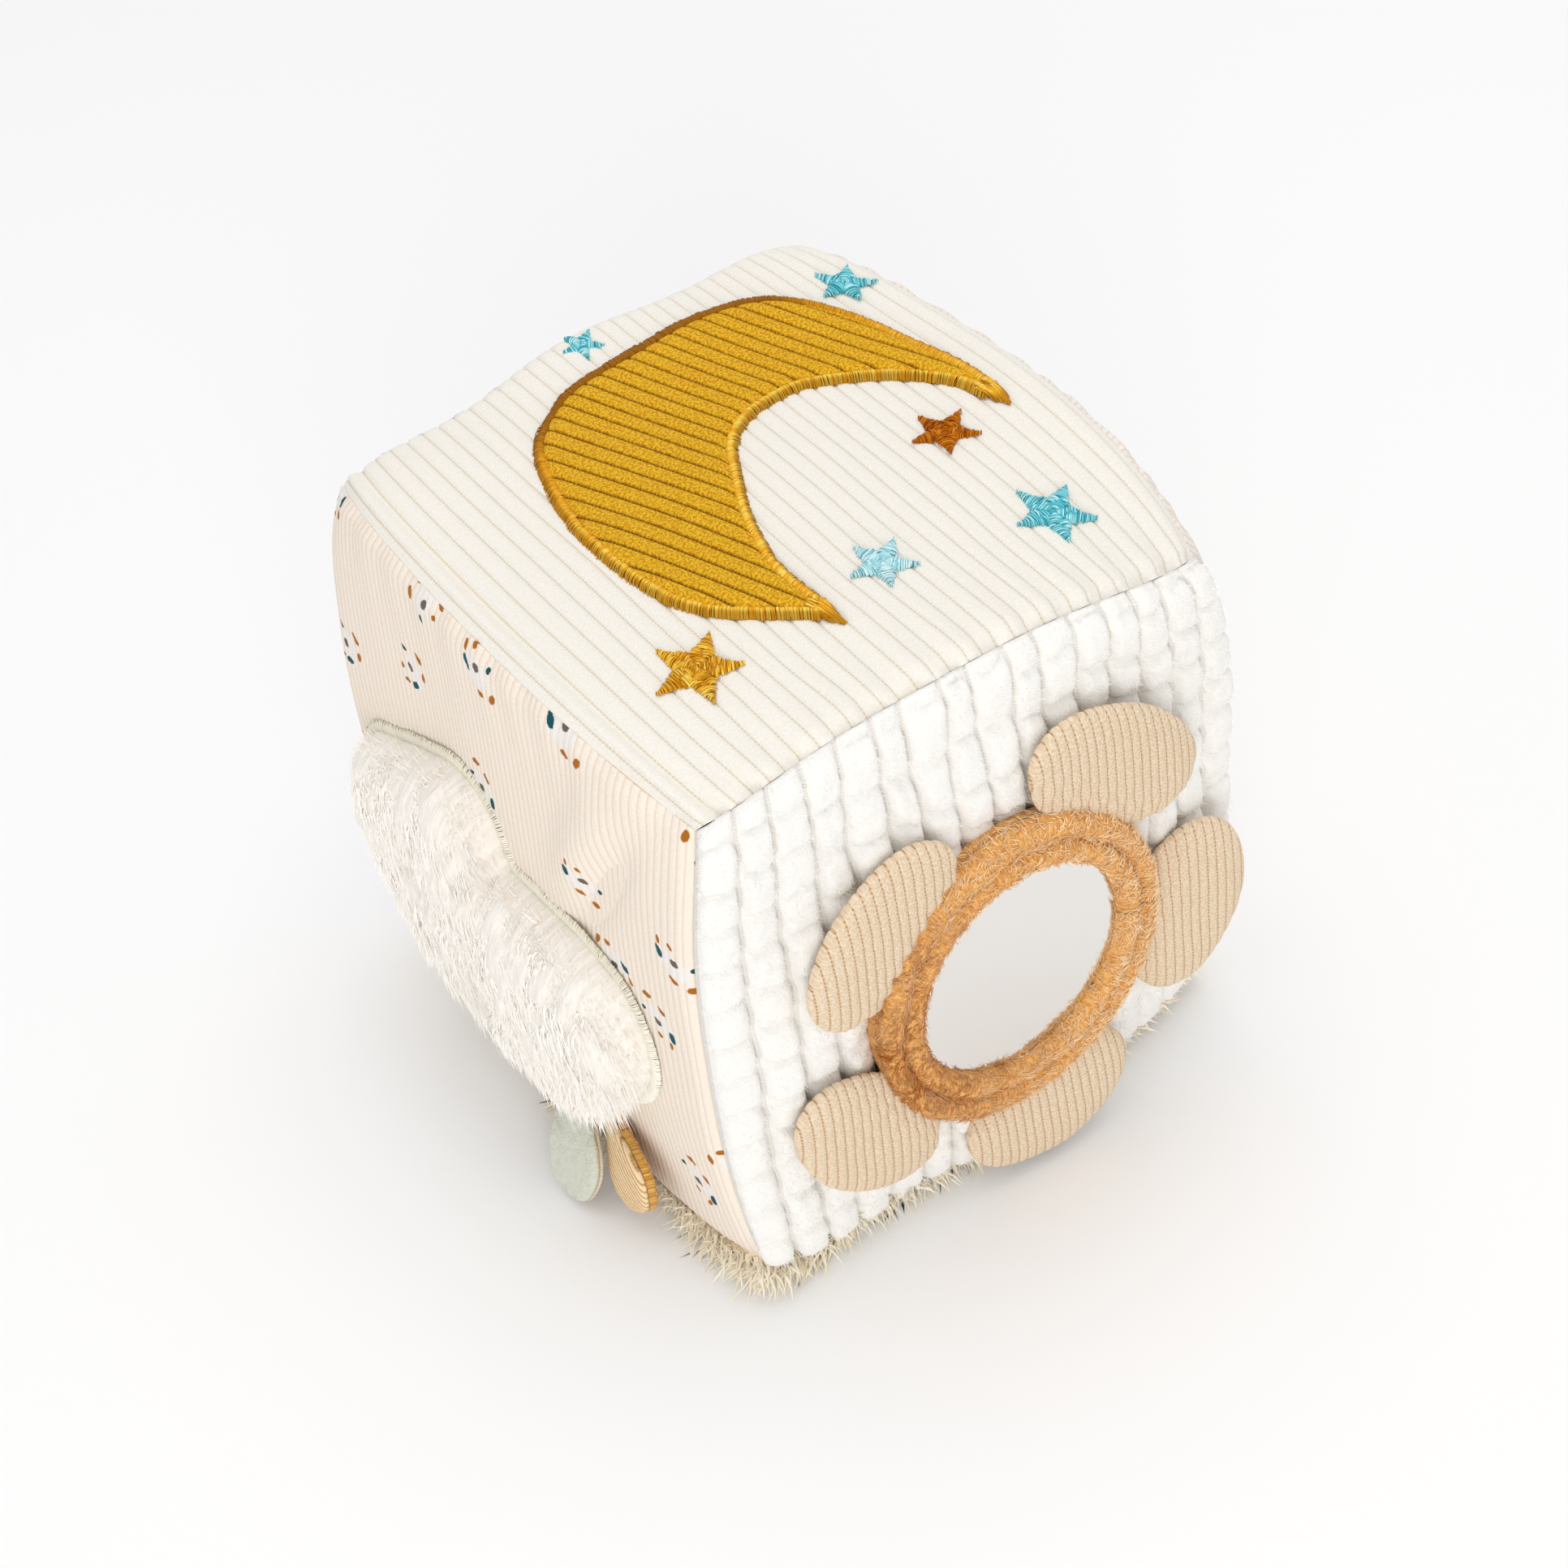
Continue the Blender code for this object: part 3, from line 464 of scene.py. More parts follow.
def piece(name, shape, look, body="block", replaces=(), smooth=True):
    """Makes a shape's mesh object and hooks it to its body; where that is None it stays free."""
    points, faces, uv = shape
    corners = np.concatenate([group.ravel() for group in faces])
    used, order = np.unique(corners, return_inverse=True)
    mesh = bpy.data.meshes.new(name)
    mesh.vertices.add(len(used))
    mesh.vertices.foreach_set("co", points[used].astype(np.float32).ravel())
    mesh.loops.add(len(order))
    mesh.loops.foreach_set("vertex_index", order.astype(np.int32).ravel())
    sizes = np.concatenate([np.full(len(group), group.shape[1]) for group in faces])
    mesh.polygons.add(len(sizes))
    mesh.polygons.foreach_set("loop_start", (np.cumsum(sizes) - sizes).astype(np.int32))
    mesh.update(calc_edges=True)
    layer = mesh.uv_layers.new(name="UVMap")
    layer.data.foreach_set("uv", uv[used][order.ravel()].astype(np.float32).ravel())
    mesh.validate()
    if smooth:
        mesh.shade_smooth()
    else:
        mesh.shade_flat()
    mesh.materials.append(look.material)
    made = bpy.data.objects.new(name, mesh)
    bpy.context.scene.collection.objects.link(made)
    if body:
        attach(made, body)
    if replaces:
        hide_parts(*replaces)
    return made


# Looks

class Look:
    """A material whose nodes are added by short calls; sockets take numbers or outputs."""

    def __init__(self, name, roughness=0.9, slot=None, **constants):
        self.slot = slot or name
        self.material = bpy.data.materials.new(name)
        self.material.use_nodes = True
        self.tree = self.material.node_tree
        self.shader = self.tree.nodes["Principled BSDF"]
        self.shader.inputs["Roughness"].default_value = roughness
        for socket, value in constants.items():
            self.shader.inputs[socket.replace("_", " ")].default_value = value
        self.place = self.node("ShaderNodeTexCoord").outputs["UV"]
        split = self.node("ShaderNodeSeparateXYZ", {0: self.place})
        self.u, self.v = split.outputs[0], split.outputs[1]

    def node(self, kind, inputs=None, **settings):
        made = self.tree.nodes.new(kind)
        for name, value in settings.items():
            setattr(made, name, value)
        for socket, value in (inputs or {}).items():
            if isinstance(value, bpy.types.NodeSocket):
                self.tree.links.new(value, made.inputs[socket])
            else:
                made.inputs[socket].default_value = value
        return made

    def math(self, operation, *values):
        return self.node("ShaderNodeMath", dict(enumerate(values)), operation=operation).outputs[0]

    def times(self, first, second):
        return self.math("MULTIPLY", first, second)

    def plus(self, first, second):
        return self.math("ADD", first, second)

    def rest(self, share):
        """What a share leaves of 1."""
        return self.math("SUBTRACT", 1.0, share)

    def vector(self, operation, *values):
        inputs = dict(enumerate(values))
        return self.node("ShaderNodeVectorMath", inputs, operation=operation).outputs

    def mix(self, share, first, second):
        inputs = {0: share, 6: first, 7: second}
        return self.node("ShaderNodeMix", inputs, data_type="RGBA").outputs[2]

    def noise(self, size, detail=2.0, place=None, stretch=None):
        """Noise whose lumps are about size wide, in the units of its place."""
        place = place or self.place
        if stretch:
            place = self.node("ShaderNodeMapping", {0: place, 3: stretch}).outputs[0]
        inputs = {"Vector": place, "Scale": 1 / size, "Detail": detail}
        return self.node("ShaderNodeTexNoise", inputs).outputs[0]

    def step(self, value, low, high):
        """Smooth step from 0 at low to 1 at high."""
        inputs = {0: value, 1: low, 2: high}
        return self.node("ShaderNodeMapRange", inputs, interpolation_type="SMOOTHSTEP").outputs[0]

    def saw(self, value, pitch):
        """Distance from the nearest multiple of pitch."""
        share = self.math("FRACT", self.math("DIVIDE", value, pitch))
        middle = self.math("ABSOLUTE", self.math("SUBTRACT", share, 0.5))
        return self.times(self.math("SUBTRACT", 0.5, middle), pitch)

    def colour(self, value):
        self.tree.links.new(value, self.shader.inputs["Base Color"])

    def bump(self, height, distance):
        """Raises the surface by height, from 0 to 1, times distance in metres."""
        inputs = {"Height": height, "Distance": distance, "Strength": 1.0}
        made = self.node("ShaderNodeBump", inputs)
        self.tree.links.new(made.outputs[0], self.shader.inputs["Normal"])


def rgb(red, green, blue):
    """Linear colour of the one that a screen shows as these numbers of 255."""
    return (*(((value / 255 + 0.055) / 1.055) ** 2.4 for value in (red, green, blue)), 1)


def cord_look(name, light, dark, ground, pitch, width, ladder=0.0, rough=0.22):
    """Corduroy: velvety wales with a sewn-looking ladder of ground threads in the grooves."""
    look = Look(name, 0.95, Sheen_Weight=0.05, Sheen_Roughness=0.5, Specular_IOR_Level=0.05)
    edge = look.saw(look.plus(look.u, look.times(look.noise(3.0), 0.12)), pitch)
    rung = look.step(look.saw(look.v, 1.0), 0.1, 0.32)
    deep = look.rest(look.step(edge, 0.0, width))
    deep = look.times(deep, look.rest(look.times(rung, ladder)))
    nap, patch = look.noise(0.6, 4.0), look.noise(9.0, 3.0)
    shade = look.plus(look.times(look.step(nap, 0.38, 0.62), 0.75), look.times(patch, 0.25))
    look.colour(look.mix(deep, look.mix(shade, rgb(*dark), rgb(*light)), rgb(*ground)))
    relief = look.plus(look.times(look.noise(0.3, 3.0), 0.7), look.times(nap, 0.5))
    look.bump(relief, rough * MM)
    return look


def pile_look(name, slot, shaded_root, tip, second_tip):
    """Fibres with painted shade at their roots, which are darker, and tips that vary from one to
    the next.
    """
    look = Look(name, 0.9, slot, Specular_IOR_Level=0.05)
    ends = look.mix(look.u, rgb(*tip), rgb(*second_tip))
    # Painted shade: the root colour darkens the lower half of each fibre.
    look.colour(look.mix(look.step(look.v, 0.0, 0.55), rgb(*shaded_root), ends))
    return look


def ground_look(name, slot, dark, light, size, deep):
    """Combed pile seen from above, as strands along the cloth's second direction."""
    look = Look(name, 1.0, slot, Sheen_Weight=0.1)
    strands = look.noise(size, 3.0, stretch=(1, 0.22, 1))
    look.colour(look.mix(look.step(strands, 0.3, 0.7), rgb(*dark), rgb(*light)))
    look.bump(strands, deep * MM)
    return look


def thread_look(name, dark, middle, bright, roughness=0.35, edge=0.0, slot=None):
    """Glossy thread with the twist of its yarn; each stitch has a random tone from dark to bright,
    partly the thread's own and partly painted glint and shade, and edge paints shade on its outer
    end.
    """
    dark, middle, bright = rgb(*dark), rgb(*middle), rgb(*bright)
    look = Look(name, roughness, slot, Specular_IOR_Level=0.6, Specular_Tint=bright)
    tone = look.mix(look.step(look.u, 0.0, 0.5), dark, middle)
    tone = look.mix(look.step(look.u, 0.5, 1.0), tone, bright)
    # Painted shade: edge darkens the outer end of each stitch.
    if edge:
        tone = look.mix(look.times(look.step(look.v, 0.45, 0.8), edge), tone, dark)
    look.colour(tone)
    look.bump(look.noise(0.02, 1.0, stretch=(0.1, 1, 1)), 0.00005)
    return look


def print_look():
    """Peach velour with fine ribs and a sparse print of small sprigs, each turned its own way."""
    look = cord_look("printed_velour", (250, 240, 227), (245, 232, 217), (236, 218, 200), RIB, 0.4)
    tone = look.shader.inputs["Base Color"].links[0].from_socket
    shifted = look.vector("ADD", look.place, (7.0, 3.0, 0.0))[0]
    cell = look.node(
        "ShaderNodeTexVoronoi", {"Vector": shifted, "Scale": 1 / 31, "Randomness": 0.6},
        voronoi_dimensions="2D",
    )
    away = look.vector("SUBTRACT", shifted, cell.outputs["Position"])[0]
    flat = look.vector("MULTIPLY", away, (1, 1, 0))[0]
    red = look.node("ShaderNodeSeparateXYZ", {0: cell.outputs["Color"]}).outputs[0]
    inputs = {"Vector": flat, "Angle": look.times(red, 6.3)}
    local = look.node("ShaderNodeVectorRotate", inputs, rotation_type="Z_AXIS").outputs[0]
    ragged = look.times(look.noise(0.5, 2.0), 0.5)
    white, brown, teal, grey = (240, 240, 242), (176, 106, 30), (28, 84, 92), (112, 98, 86)
    # Place and turn in the sprig, radii and colour
    marks = (
        ((0.8, 0.6), 20, (5.0, 3.2), white), ((-5.6, 2.2), 65, (1.3, 0.7), brown),
        ((-1.4, 4.4), 10, (1.1, 0.6), brown), ((4.6, 1.4), -40, (1.4, 0.75), teal),
        ((0.6, -0.8), 30, (1.0, 0.8), grey), ((-3.2, -3.4), 80, (0.8, 0.5), teal),
        ((3.4, -3.8), 0, (0.7, 0.55), brown), ((6.2, -1.6), 120, (1.0, 0.5), brown),
    )
    for centre, angle, radii, paint in marks:
        growth, strength = (1.0, 0.55) if paint == white else (1.3, 1.0)
        radii = [radius * growth for radius in radii]
        inputs = {0: local, 1: (*centre, 0), 2: (0, 0, math.radians(angle)), 3: (*radii, 1)}
        place = look.node("ShaderNodeMapping", inputs, vector_type="TEXTURE").outputs[0]
        reach = look.plus(look.vector("LENGTH", place)["Value"], ragged)
        inside = look.rest(look.step(reach, 1.05, 1.3))
        share = look.times(inside, strength) if strength < 1 else inside
        tone = look.mix(share, tone, rgb(*paint))
    look.colour(tone)
    return look


def plush_look():
    """White pile in the puffs, with the woven ground in the channels."""
    look = Look("white_plush", 1.0, Sheen_Weight=0.25, Sheen_Roughness=0.5, Specular_IOR_Level=0.1)
    deep = look.rest(look.step(look.saw(look.u, PUFF_COLUMN / MM), 0.45, 0.8))
    weft = look.step(look.saw(look.v, 0.7), 0.08, 0.22)
    weave = look.times(weft, look.step(look.saw(look.u, 0.55), 0.05, 0.16))
    deep = look.times(deep, look.plus(0.35, look.times(weave, 0.5)))
    nap = look.noise(0.6, 4.0)
    tone = look.mix(nap, rgb(245, 242, 237), rgb(252, 250, 246))
    look.colour(look.mix(deep, tone, rgb(222, 217, 208)))
    relief = look.plus(look.times(look.noise(0.35, 3.0), 0.6), look.times(nap, 0.8))
    look.bump(relief, 0.00035)
    return look


def grained_look(name, roughness, grain, deep, colours=None, reach=None, **constants):
    """One colour, or two mixed by the grain, whose height is a function of the look."""
    look = Look(name, roughness, **constants)
    height = grain(look)
    if colours:
        share = look.step(height, *reach) if reach else height
        look.colour(look.mix(share, *(rgb(*colour) for colour in colours)))
    look.bump(height, deep)
    return look


CREAM = cord_look(
    "cream_corduroy", (247, 243, 235), (242, 236, 225), (224, 204, 170), TOP_WALE, 0.34, 0.55,
)
MUSTARD = cord_look(
    "mustard_corduroy", (255, 208, 52), (204, 132, 3), (92, 46, 1), MOON_WALE, 0.6, 0.3, 0.5,
)
TAN = cord_look(
    "tan_corduroy", (252, 233, 206), (230, 203, 170), (186, 136, 76), PETAL_WALE, 0.34, 0.65, 0.5,
)
PINK = cord_look(
    "pale_pink_velour", (245, 238, 230), (238, 229, 220), (228, 214, 204), RIB, 0.45,
)
LAVENDER = cord_look(
    "pale_lavender_velour", (228, 226, 236), (218, 215, 227), (204, 200, 216), RIB, 0.45,
)
STRIPED = cord_look(
    "tan_stripe", (255, 228, 188), (242, 212, 168), (186, 136, 76), STRIPE, 0.4, 0.2,
)
PEACH = print_look()
PLUSH = plush_look()
PILES = {
    slot: pile_look(name, slot, *colours) for name, slot, *colours in (
        ("cream_fur_pile", "cream_fur", (255, 236, 206), (255, 250, 236), (255, 242, 216)),
        ("white_fur_pile", "white_fur", (252, 246, 238), (255, 252, 247), (252, 247, 240)),
        # camel: the dark first tip is the rolls' painted shade and the light second tip their lit
        # side, mixed with random tone
        ("camel_pile", "camel_plush", (208, 134, 50), (180, 106, 22), (255, 230, 186)),
        ("white_plush_pile", "white_plush", (249, 247, 243), (254, 253, 251), (251, 250, 247)),
    )
}
GROUNDS = {
    slot: ground_look(name, slot, *values) for name, slot, *values in (
        ("white_fur_ground", "white_fur", (240, 233, 224), (251, 246, 239), 0.9, 0.5),
        ("cream_fur_ground", "cream_fur", (240, 222, 192), (252, 238, 212), 1.2, 0.8),
        ("camel_ground", "camel_plush", (208, 136, 54), (248, 194, 118), 0.5, 0.5),
    )
}
GOLD_THREAD = thread_look("gold_satin", (176, 108, 4), (236, 170, 24), (255, 226, 104))
# Gold thread for the moon's border, with painted shade on the outer ends of its stitches
GOLD_SHADED_EDGE = thread_look(
    "gold_satin_shaded_edge", (146, 84, 3), (236, 166, 20), (255, 226, 100), edge=0.6, slot="gold_satin",
)
BROWN_THREAD = thread_look("brown_satin", (150, 70, 1), (190, 104, 6), (224, 146, 30))
BLUE_THREAD = thread_look("light_blue_satin", (140, 210, 222), (196, 238, 244), (240, 253, 254))
TEAL_THREAD = thread_look("teal_satin", (56, 172, 188), (120, 216, 226), (206, 250, 252))
GREEN_THREAD = thread_look(
    "pale_green_satin", (240, 235, 216), (252, 247, 232), (255, 253, 244), 0.4,
)
SILVER = grained_look(
    "mirror_film", 0.08, lambda look: look.noise(9.0, 1.0), 0.00012,
    Metallic=1.0, Base_Color=rgb(234, 232, 229),
)
WADDING = grained_look(
    "wadding", 1.0, lambda look: look.noise(1.0, 5.0), 0.0006,
    Base_Color=rgb(238, 234, 226), Sheen_Weight=0.2,
)
FIBRE = grained_look(
    "fibre_filling", 1.0, lambda look: look.noise(2.0, 5.0), 0.001,
    Base_Color=rgb(244, 243, 240), Sheen_Weight=0.3,
)
SAGE = grained_look(
    "sage_velour", 0.95, lambda look: look.noise(0.5, 4.0, stretch=(0.35, 1, 1)), 0.0003,
    ((198, 201, 185), (225, 224, 209)), Sheen_Weight=0.3, Sheen_Roughness=0.5,
)
LINING = grained_look(
    "drop_lining", 0.95, lambda look: look.plus(look.saw(look.u, 0.6), look.saw(look.v, 0.6)),
    0.0002, ((212, 200, 176), (232, 222, 200)), (0.1, 0.5), Sheen_Weight=0.1,
)
TERRY = grained_look(
    "gold_terry", 0.9, lambda look: look.noise(0.5, 3.0), 0.0007,
    ((188, 120, 22), (240, 188, 92)), (0.35, 0.65), Sheen_Weight=0.3,
)


# Covers of the six faces

def seam_rows(count):
    """Even shares from -1 to 1, crowded towards both ends."""
    return np.sin(np.linspace(-1, 1, count) * math.pi / 2)


def wale_columns(pitch, shares):
    """Shares across a face that fall on the same few places of every wale."""
    width = 2 * HALF / MM / pitch
    return np.append(wale_places(-width / 2, round(width), pitch, shares), HALF) / HALF


def wander(x, y, reach, everywhere):
    """Sideways shift of wales that wave near the lower seam and stay put at the side seams."""
    wave = noise(x / 0.009, y / 0.016, 5) * 1.5 * MM * np.exp(-(y + HALF) / reach)
    return (wave + everywhere * noise(x / 0.02, y / 0.03, 6)) * (1 - (x / HALF) ** 2)


def cover(face, columns, rows, relief, look, reach=0.02, everywhere=0.0):
    """Padded cloth over one face, with its relief as heights over flat places."""
    x, y = np.meshgrid(columns * HALF, rows * HALF)
    waved = x + wander(x, y, reach, everywhere)
    outer, _ = on_face(face, waved, y, relief(x, y))
    inner = cushion(face, waved / HALF, y / HALF, -COVER_THICK)
    outer[..., 2] = np.maximum(outer[..., 2], FLOOR_GAP)
    piece(face + "_cover", slab(outer, inner, x, y), look, replaces=[face + "_panel"])


def rim_share(x, y, reach):
    """1 at the seams, falling to 0 within reach of them."""
    inward = HALF - np.maximum(np.abs(x), np.abs(y))
    return np.exp(-inward / reach)


def top_relief(x, y):
    u, v = x / MM, y / MM
    wales = -0.6 * groove(u, TOP_WALE, WALE_GROOVE)
    gathers = 0.8 * np.sin(u * 0.62 + 2.5 * noise(u / 18, v / 30, 3)) * np.exp(-(v + 70) / 11)
    soft = 0.5 * noise(u / 30, v / 34, 4)
    hem = 0.9 * bell(u + 67.4, 1.8) - 0.7 * bell(u + 64.4, 0.7)
    return (wales + gathers + soft + hem) * MM


def left_relief(x, y):
    u, v = x / MM, y / MM
    slant = u - 0.5 * (v - 40)
    folds = 2.5 * bell(slant - 35, 7) * bell(v - 42, 22)
    folds -= 2.2 * bell(slant - 46, 5) * bell(v - 34, 22)
    gathers = 0.35 * np.sin(u * 0.5 + 3 * noise(u / 20, v / 20, 6)) * np.exp(-(70 - v) / 12)
    soft = 0.6 * noise(u / 26, v / 30, 7)
    return (folds + gathers + soft - RIB_DEPTH * groove(u, RIB, RIB_GROOVE)) * MM


def plain_relief(seed):
    def relief(x, y):
        u, v = x / MM, y / MM
        gathers = 0.35 * np.sin(u * 0.55 + 3 * noise(u / 20, v / 20, seed))
        gathers = gathers * rim_share(x, y, 0.009)
        soft = 0.7 * noise(u / 28, v / 30, seed + 1)
        return (gathers + soft - RIB_DEPTH * groove(u, RIB, RIB_GROOVE)) * MM
    return relief


def round_flower(x, y):
    """How the plush swells round the rolls, over flat places of the front."""
    away = np.hypot(x, y - FLOWER_UP)
    return 0.0030 * smooth_step(away, 0.034, 0.042) * (1 - smooth_step(away, 0.050, 0.068))


def plush_relief(x, y):
    """Columns of puffs, each column with its own rows."""
    column = x / PUFF_COLUMN
    index = np.floor(column)
    across = 2 * np.abs(column - index - 0.5) / PUFF_WIDTH
    own = noise(index * 5.3 + 0.5, index * 3.1 + 0.5, 11)
    row = y / PUFF_ROW + 0.42 * own + 0.1 * noise(x / 0.004, y / 0.006, 12)
    along = 2 * np.abs(row - np.floor(row) - 0.5)
    ragged = 0.05 * noise(x / 0.0022, y / 0.0022, 17)
    reach = (across**5 + (along * 1.02) ** 5) ** 0.2 + ragged
    size = 1 + 0.18 * noise(index * 1.7 + 0.3, np.floor(row) * 1.3 + 0.4, 13)
    puff = (1 - np.clip(reach, 0, 1) ** 4) ** 0.5 * size
    bridge = 0.30 * (1 - np.clip(across, 0, 1) ** 4) ** 0.5
    puff = np.maximum(puff, bridge)
    crumbs = 0.16 * noise(x / 0.0012, y / 0.0012, 14) + 0.30 * noise(x / 0.0029, y / 0.0029, 15)
    drawn_in = 1 - 0.4 * (np.maximum(np.abs(x), np.abs(y)) / HALF) ** 14
    return 0.0002 + (PUFF * puff + crumbs * MM * (puff > 0.05)) * drawn_in + round_flower(x, y)


def base_relief(x, y):
    pile = BASE_PILE - 0.0012 + 0.0008 * noise(x / 0.004, y / 0.004, 21)
    return pile * (1 - 0.6 * rim_share(x, y, 0.003))


RIBS = wale_columns(RIB, RIB_PLACES)
PUFF_CELLS = np.linspace(-1, 1, 16 * 14 + 1)
cover("top", wale_columns(TOP_WALE, WALE_PLACES), seam_rows(110), top_relief, CREAM, 0.022, 0.0004)
cover("left", RIBS, seam_rows(100), left_relief, PEACH)
cover("right", RIBS, seam_rows(80), plain_relief(30), PINK)
cover("back", RIBS, seam_rows(80), plain_relief(40), LAVENDER)
cover("front", PUFF_CELLS, np.linspace(-1, 1, 217), plush_relief, PLUSH, 1.0)
cover("base", seam_rows(90), seam_rows(90), base_relief, GROUNDS["cream_fur"])


def front_pile(count, length, radius, seed):
    """Short soft fibres that stand on the puffs of the front."""
    rng = np.random.default_rng(seed)
    x, y = rng.uniform(-HALF * 0.995, HALF * 0.995, (2, count))
    level = plush_relief(x, y)
    on_puff = level - round_flower(x, y) > 0.001
    x, y, level = x[on_puff], y[on_puff], level[on_puff]
    roots, normal = on_face("front", x + wander(x, y, 1.0, 0.0), y, level - 0.0001)
    size = length * rng.uniform(0.6, 1.2, (len(x), 1))
    lie = unit(rng.normal(0, 1, roots.shape) + (0, 0, -0.4)) * size * 0.7
    shape = fibres(roots, normal * size * 0.6, lie, radius, 3, seed)
    piece("front_pile", shape, PILES["white_plush"], smooth=False)


front_pile(17000, 0.0014, 0.00009, 16)


# Moon and stars on the top

def moon_shape(outline):
    """Cloth with turned wales, rounded down under its border."""
    p, q = turned(*outline.T, -MOON_TURN)
    pitch = MOON_WALE * MM
    count = int((p.max() - p.min()) / pitch) + 2
    columns = wale_places(math.floor(p.min() / pitch), count, MOON_WALE, WALE_PLACES)
    p, q = np.meshgrid(columns, np.arange(q.min() - MM, q.max() + MM, 0.0007))
    x, y = turned(p, q, MOON_TURN)
    inward = edge_distance(x, y, outline)
    height = 0.0003 + MOON_THICK * rounded((inward + MOON_UNDER_BORDER) / MOON_EDGE_RUN)
    height = height - 0.0007 * groove(p / MM, MOON_WALE, WALE_GROOVE)
    height = np.maximum(height + 0.00035 * noise(x / 0.02, y / 0.02, 51), 0.00045)
    outer, inner = on_face("top", x, y, height)[0], on_face("top", x, y, 0.0001)[0]
    middle = [(side[1:, 1:] + side[:-1, :-1]) / 2 for side in (x, y)]
    return slab(outer, inner, p, q, edge_distance(*middle, outline) > -MOON_UNDER_BORDER)


def stitched(face, start, end, low, rise, radius, seed):
    """Satin stitches between flat places of a face; low holds the heights of both ends."""
    _, normal = on_face(face, *((start + end) / 2).T)
    first, last = pinned(face, start, low[0]), pinned(face, end, low[1])
    return threads(first, last, normal, rise, radius, seed)


def satin_border(name, face, outline, width, rise, look, replaces, seed, tips=()):
    """Stitches side by side across the edge of a sewn-on cloth, over a thin padding of the same."""
    rng = np.random.default_rng(seed)
    even, out = even_outline(outline, BORDER_PITCH)
    count = len(even)
    ahead = np.stack([-out[:, 1], out[:, 0]], 1)
    drift = noise(np.arange(count) / 30, np.zeros(count), seed) * 0.25 * MM
    start = even + out * (-0.0004 + rng.normal(0, 0.00012, count) + drift)[:, None]
    slant = rng.normal(0.0004, 0.00012, count)[:, None] * ahead
    end = even + out * (width + rng.normal(0, 0.00016, count) + drift)[:, None] + slant
    arch = rise * rng.uniform(0.96, 1.04, count)
    sewn = stitched(face, start, end, (0.0005, 0.0003), arch, BORDER_THREAD, seed)
    # Painted shade: where the border's outward side points up its face, the stitches' tone is
    # pulled towards dark.
    shade = 1 - 0.9 * np.clip(out[:, 1] * 1.3, 0, 1)
    sewn[2][:, 0] = (0.45 + 0.55 * sewn[2][:, 0]) * np.repeat(shade, len(sewn[2]) // count)
    rings = [
        pinned(face, even + out * (width * across - 0.0003), rise * height)
        for across, height in PADDING_PROFILE
    ]
    stitches = [sewn, looped(np.stack(rings, 1)[:, ::-1])]
    for tip, direction in tips:
        toward = np.array(direction, float) / np.hypot(*direction)
        aside = np.array([-toward[1], toward[0]])
        spread = rng.uniform(-1, 1, (TIP_STITCHES, 1))
        back = rng.uniform(0.001, 0.005, (TIP_STITCHES, 1))
        begin = tip - toward * back + aside * spread * 0.0021
        reach = 0.0062 - 0.004 * np.abs(spread) + rng.normal(0, 0.0006, (TIP_STITCHES, 1))
        finish = tip + toward * reach + aside * spread * 0.0016
        last, normal = on_face(face, *finish.T, 0.0004)
        arch = np.full(TIP_STITCHES, 0.0007)
        first = pinned(face, begin, 0.0012)
        stitches.append(threads(first, last, normal, arch, TIP_THREAD, seed + 1))
    return piece(name, joined(*stitches), look, replaces=replaces)


moon_outline = smooth_outline(MOON_SHARES, MOON_TIPS) * HALF
moon = piece("moon_cloth", moon_shape(moon_outline), MUSTARD, replaces=["moon"])
lower_tip, upper_tip = (np.array(MOON_SHARES[tip]) * HALF for tip in MOON_TIPS)
moon_border = satin_border(
    "moon_stitches", "top", moon_outline, 0.0027, 0.0013, GOLD_SHADED_EDGE, ["moon_border"], 61,
    tips=((lower_tip, (0.25, -1.0)), (upper_tip, (0.1, -1.0))),
)


def star(name, place, turn, radius, look, seed):
    """Star filled with rows of short stitches that change their slant from point to point."""
    rng = np.random.default_rng(seed)
    centre = np.array(place) * HALF
    angles = math.radians(turn) + math.pi / 2 + np.arange(10) * math.pi / 5
    reach = np.where(np.arange(10) % 2, STAR_WAIST, 1.0) * radius
    corners = centre + reach[:, None] * np.stack([np.cos(angles), np.sin(angles)], 1)
    rows = int(radius / STAR_PITCH)
    share = (np.arange(rows) + 0.5) / rows
    ends = [], []
    for tip in range(0, 10, 2):
        for side, found in zip((tip + 1, tip - 1), ends):
            bends = np.stack([corners[tip], corners[side], centre], 1)
            found.append(np.stack([np.interp(share, (0, STAR_BEND, 1), bend) for bend in bends], 1))
    begin, finish = (np.concatenate(found) for found in ends)
    count, longer = len(begin), finish - begin
    begin = begin - longer * rng.uniform(0, 0.12, (count, 1)) + rng.normal(0, 0.00012, (count, 2))
    finish = finish + longer * rng.uniform(0, 0.12, (count, 1)) + rng.normal(0, 0.00012, (count, 2))
    cut = begin + (finish - begin) * rng.uniform(0.35, 0.65, (count, 1))
    long = np.linalg.norm(finish - begin, axis=1) > LONGEST_STITCH
    start = np.concatenate([begin[~long], begin[long], cut[long]])
    end = np.concatenate([finish[~long], cut[long], finish[long]])
    arch = rng.uniform(0.0005, 0.0009, len(start))
    stitches = stitched("top", start, end, (0.0003, 0.0003), arch, STAR_THREAD, seed)
    padding = ((1, 0.0001), (0.98, 0.0005), (0.6, 0.0008), (0.02, 0.0009), (0.02, 0.0001))
    rings = [
        pinned("top", centre + (corners - centre) * 0.93 * share, height)
        for share, height in padding
    ]
    shape = joined(stitches, looped(np.stack(rings, 1)[:, ::-1]))
    piece(name + "_stitches", shape, look, replaces=[name])


